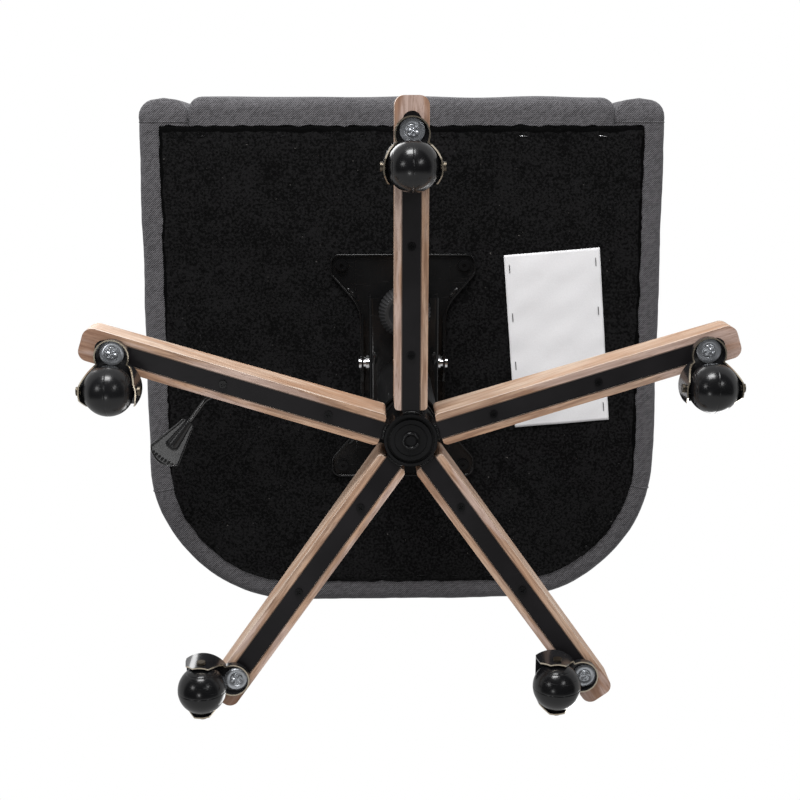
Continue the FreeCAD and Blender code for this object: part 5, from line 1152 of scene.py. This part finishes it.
def makePaddle():
    # plate over u along and v across; its underside has a rim, a cone round the rod and tip ridges
    u = np.concatenate([np.linspace(0, 0.16, 10), np.linspace(0.18, 0.9, 34), np.linspace(0.91, 1, 14)])
    v = np.sin(np.linspace(-math.pi / 2, math.pi / 2, 90))
    straight = paddle["length"] - paddle["bow"]
    share = np.clip(u * straight / paddle["shoulder"], 0, 1)
    rooted = paddle["rootHalf"] * (0.5 + 0.5 * np.sqrt(1 - (1 - share) ** 2))
    slope = (paddle["tip"] - paddle["rootHalf"]) / (straight - paddle["shoulder"])
    half = rooted + slope * np.maximum(u * straight - paddle["shoulder"], 0)
    half = half - 0.0022 * ease((u - 0.93) / 0.07) ** 2
    x = u[:, None] * (straight + paddle["bow"] * (1 - v[None] ** 2) * ease(u)[:, None])
    y = half[:, None] * v[None]
    fromSide = half[:, None] * (1 - np.abs(v[None]))
    fromEnd = (1 - u[:, None]) * paddle["length"]
    edge = np.minimum(fromSide, fromEnd)
    rim = paddle["rim"] * ease(1.4 - np.abs(edge - paddle["rimWidth"] / 2) / (paddle["rimWidth"] / 2))
    roundOver = 0.0012 * (1 - ease(edge / 0.0012))
    root, wide = paddle["coneRoot"], paddle["coneTip"]
    coneRadius = root + (wide - root) * np.clip((x + 0.003) / paddle["coneLength"], 0, 1)
    boss = np.sqrt(np.maximum(coneRadius ** 2 - y ** 2, 0)) - paddle["half"]
    boss = np.maximum(boss, 0) * ease((paddle["coneEnd"] - 0.004 * (y / wide) ** 2 - x) / 0.0035)
    fan = y / (0.8 * paddle["tip"]) * (paddle["ridges"] - 1) / 2
    ridgeAt = paddle["length"] - paddle["ridgeInset"] - paddle["ridgeCurve"] * y ** 2
    inBand = np.exp(-((x - ridgeAt) / paddle["ridgeHalf"]) ** 2) * (np.abs(y) < paddle["ridgeReach"])
    ridge = paddle["ridgeHeight"] * inBand * np.maximum(np.cos(2 * math.pi * fan), 0)
    under = -paddle["half"] - np.maximum(rim, boss) - ridge + roundOver
    over = paddle["half"] - roundOver * 0.8
    top = np.linspace(89, 0, 12).astype(int)
    loop = np.concatenate([np.stack([x, y, under], -1),
                           np.stack([x[:, top], y[:, top], over[:, top]], -1)], 1)
    root, bend = np.array(paddle["root"]), np.array(paddle["bend"])
    along = (root - bend) / np.linalg.norm(root - bend)
    across = np.cross([0, 0, 1], along)
    across /= np.linalg.norm(across)
    up = np.cross(along, across)
    placed = root + loop[..., :1] * along + loop[..., 1:2] * across + loop[..., 2:] * up
    dress(gridMesh("leverPaddle", placed, caps=True), "lever",
          looks["paddlePlastic"], ["lever_paddle"])


makePaddle()

weld = {"ring": 0.0287, "height": 0.0737, "radius": 0.0019, "half": 0.0085}


def makeWelds():
    # a rippled bead under each steel arm, along the hub's round: radius times 1 plus a ripple
    half = weld["half"] / weld["ring"]
    turn = np.linspace(-half, half, 44)
    grids = []
    for index, name in enumerate(armNames):
        ripples = 1 + 0.16 * np.sin(turn * 150 + index) + 0.10 * np.sin(turn * 61 + 2 * index)
        taper = np.sqrt(np.maximum(1 - (turn / half / 1.02) ** 6, 0.02))
        path = xyz(weld["ring"] * np.cos(turn + armTurn[name]), weld["ring"] * np.sin(turn + armTurn[name]),
                   weld["height"] + 0.0003 * np.sin(turn * 40))
        spine = tubeGrid(path, 1.0, 12) - path[:, None]
        grids.append(path[:, None] + spine * (weld["radius"] * ripples * taper)[:, None, None])
    dress(joinGrids("weldBeads", grids), "base", looks["hubPaint"])


makeWelds()

gusset = {"x": 0.0640, "y": 0.0930, "length": 0.0085, "width": 0.0032, "depth": 0.0026, "turn": 0.72,
          "plate": -0.0033, "center": -0.012, "crease": 0.0590, "creaseWidth": 0.0011,
          "creaseRun": (0.1390, 0.0960)}


def makeGussets():
    # pressed gussets at the plate's four inner corners, half ellipsoids: cos u along, sin u times cos v
    # across and sin u times sin v down; and a round crease along each side
    u = np.linspace(0, math.pi, 14)
    v = around(24)
    grids = []
    for side in (-1, 1):
        for end in (-1, 1):
            long = gusset["length"] * np.cos(u)[:, None] + 0 * v
            short = gusset["width"] * np.sin(u)[:, None] * np.cos(v)
            down = np.minimum(gusset["depth"] * np.sin(u)[:, None] * np.sin(v), 0.0004)
            turn = -side * end * gusset["turn"] + math.pi / 2
            x = side * gusset["x"] + long * math.cos(turn) - short * math.sin(turn)
            y = gusset["center"] + end * gusset["y"] + long * math.sin(turn) + short * math.cos(turn)
            grids.append(seatPoints(xyz(x, y, gusset["plate"] + down)))
        for end in (-1, 1):
            run = end * np.linspace(*gusset["creaseRun"], 24)
            path = xyz(side * gusset["crease"], gusset["center"] + run, gusset["plate"] + 0.0005)
            grids.append(seatPoints(tubeGrid(path, gusset["creaseWidth"], 10)))
    dress(joinGrids("plateGussets", grids), "tilt", looks["plateGloss"])


makeGussets()

pressing = {"dome": (0.0032, 0.0075, 0.0024), "ahead": 0.018, "inside": 0.0065}
clip = {"radius": 0.0078, "wire": 0.00125}


def makePressings():
    # a dome pressed in the housing's floor: sin and cos of two angles, each times a half length
    low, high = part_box("tilt_housing")
    axle = np.mean(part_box("tilt_axle"), axis=0)
    u = np.linspace(-math.pi / 2, math.pi / 2, 20)[:, None]
    v = around(32)[None]
    half = pressing["dome"]
    grids = []
    for middle in (low[0] + pressing["inside"], high[0] - pressing["inside"]):
        grids.append(xyz(middle + half[0] * np.cos(u) * np.cos(v),
                         axle[1] - pressing["ahead"] + half[1] * np.sin(u),
                         low[2] + 0.0006 + half[2] * np.cos(u) * np.sin(v)))
    dress(joinGrids("housingDomes", grids), "column", looks["plateGloss"])


def makeClipWire():
    # a round wire ring that snaps into the rod's groove, over the flat clip
    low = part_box("retaining_clip")[0]
    turn = np.linspace(math.radians(20), math.radians(340), 60)
    path = xyz(clip["radius"] * np.cos(turn), clip["radius"] * np.sin(turn), low[2] - clip["wire"] * 0.3)
    grid = tubeGrid(path, clip["wire"], 12)
    dress(gridMesh("clipWire", grid, caps=True), "spindle", looks["ball"])


makePressings()
makeClipWire()
print("pieces made")

# Floor, seen only by the camera and only from above, so that the underside can be looked at

ground = {"half": 6, "dull": (0.80, 0.80, 0.80, 1), "pale": (0.84, 0.84, 0.84, 1), "fadeFrom": 1.2,
          "fadeTo": 4.2, "nearGlow": 0.36, "farGlow": 1.15}


def makeFloor():
    # matt and pale, brighter with distance until it is as white as the background
    mesh = bpy.data.meshes.new("floor")
    half = ground["half"]
    corners = [(-half, -half, 0), (half, -half, 0), (half, half, 0), (-half, half, 0)]
    mesh.from_pydata(corners, [], [(0, 1, 2, 3)])
    floor = bpy.data.objects.new("floor", mesh)
    bpy.context.scene.collection.objects.link(floor)
    floor.visible_diffuse = floor.visible_glossy = False
    floor.visible_transmission = floor.visible_shadow = False
    material = bpy.data.materials.new("paleFloor")
    material.use_nodes = True
    tree = bench["tree"] = material.node_tree
    tree.nodes.clear()
    place = addNode("TexCoord")["Object"]
    tone = mixColor(noise(place, 3.0), ground["dull"], ground["pale"])
    far = addNode("VectorMath", {0: place}, operation="LENGTH")["Value"]
    fade = addNode("MapRange", {0: far, 1: ground["fadeFrom"], 2: ground["fadeTo"],
                                3: ground["nearGlow"], 4: ground["farGlow"]})[0]
    matt = addNode("AddShader", {0: addNode("BsdfDiffuse", {"Color": tone})[0],
                                 1: addNode("Emission", {"Color": tone, "Strength": fade})[0]})[0]
    clear = addNode("BsdfTransparent")[0]
    mix = addNode("MixShader", {0: addNode("NewGeometry")["Backfacing"], 1: matt, 2: clear})[0]
    addNode("OutputMaterial", {"Surface": mix})
    mesh.materials.append(material)


makeFloor()

# Soft boxes: place, aim, size and power
softBoxes = {
    "keyFront": ((-0.30, -2.15, -0.62), (0, -0.05, 0.25), (1.0, 0.7), 42),
    "smallLeft": ((-1.46, -0.72, -1.30), (0, 0, 0.2), (0.40, 0.45), 3.5),
    "smallRight": ((1.07, -1.03, -1.50), (0, 0, 0.2), (0.28, 0.60), 4),
    "paddleGlint": ((-0.36, 0.27, -1.085), (-0.28, 0.07, 0.33), (0.16, 0.16), 0.75),
    "overhead": ((-0.8, -1.2, 2.6), (0, 0, 0.4), (1.8, 1.8), 40),
    "rearTop": ((1.2, 1.8, 2.0), (0, 0, 0.4), (1.2, 1.2), 20),
}
# Level of the surroundings: what is seen directly, what gloss shows and what lights the surfaces
room = {"seen": 1.0, "glossAbove": 0.55, "glossDark": 0.02, "glossRear": 0.60, "fill": 0.50,
        "fillTilt": -0.30}


def makeLights():
    for name, (place, aim, size, power) in softBoxes.items():
        lamp = bpy.data.lights.new(name, "AREA")
        lamp.shape = "RECTANGLE"
        lamp.size, lamp.size_y = size
        lamp.energy = power
        holder = bpy.data.objects.new(name, lamp)
        holder.location = place
        holder.rotation_euler = (Vector(aim) - Vector(place)).to_track_quat("-Z", "Y").to_euler()
        holder.visible_camera = False
        bpy.context.scene.collection.objects.link(holder)
    world = bpy.data.worlds.new("studio")
    bpy.context.scene.world = world
    world.use_nodes = True
    bench["tree"] = world.node_tree
    world.node_tree.nodes.clear()
    way = parts(addNode("TexCoord")["Generated"])
    fill = times(way[1], room["fillTilt"], room["fill"])
    below = ramp(way[1], 0.26, 0.46, room["glossDark"], room["glossRear"])
    gloss = mixNumber(ramp(way[2], -0.16, 0.02), below, room["glossAbove"])
    ray = addNode("LightPath")
    shiny = calc("MAXIMUM", ray["Is Glossy Ray"], ray["Is Transmission Ray"])
    strength = mixNumber(ray["Is Camera Ray"], mixNumber(shiny, fill, gloss), room["seen"])
    glow = addNode("Background", {"Color": (1, 1, 1, 1), "Strength": strength})[0]
    addNode("OutputWorld", {"Surface": glow})


makeLights()

shot = {"place": (-0.04244, -0.34655, -1.23298), "tilt": math.radians(13.1196),
        "yaw": math.radians(1.3347), "roll": math.radians(-0.2857), "lens": 59.04}


def makeCamera():
    # rows: image right, image up and the way the camera looks, before its small yaw and roll
    c, s = math.cos(shot["tilt"]), math.sin(shot["tilt"])
    level = Matrix(((1, 0, 0), (0, -c, s), (0, s, c)))
    c, s = math.cos(shot["yaw"]), math.sin(shot["yaw"])
    yaw = Matrix(((c, 0, -s), (0, 1, 0), (s, 0, c)))
    c, s = math.cos(shot["roll"]), math.sin(shot["roll"])
    roll = Matrix(((c, s, 0), (-s, c, 0), (0, 0, 1)))
    right, up, ahead = roll @ yaw @ level
    turn = Matrix((right, up, -ahead)).transposed()
    data = bpy.data.cameras.new("shot")
    data.lens = shot["lens"]
    data.clip_start, data.clip_end = 0.05, 30
    camera = bpy.data.objects.new("shot", data)
    camera.matrix_world = Matrix.Translation(shot["place"]) @ turn.to_4x4()
    bpy.context.scene.collection.objects.link(camera)
    bpy.context.scene.camera = camera


makeCamera()
bpy.context.scene.view_settings.view_transform = "Standard"
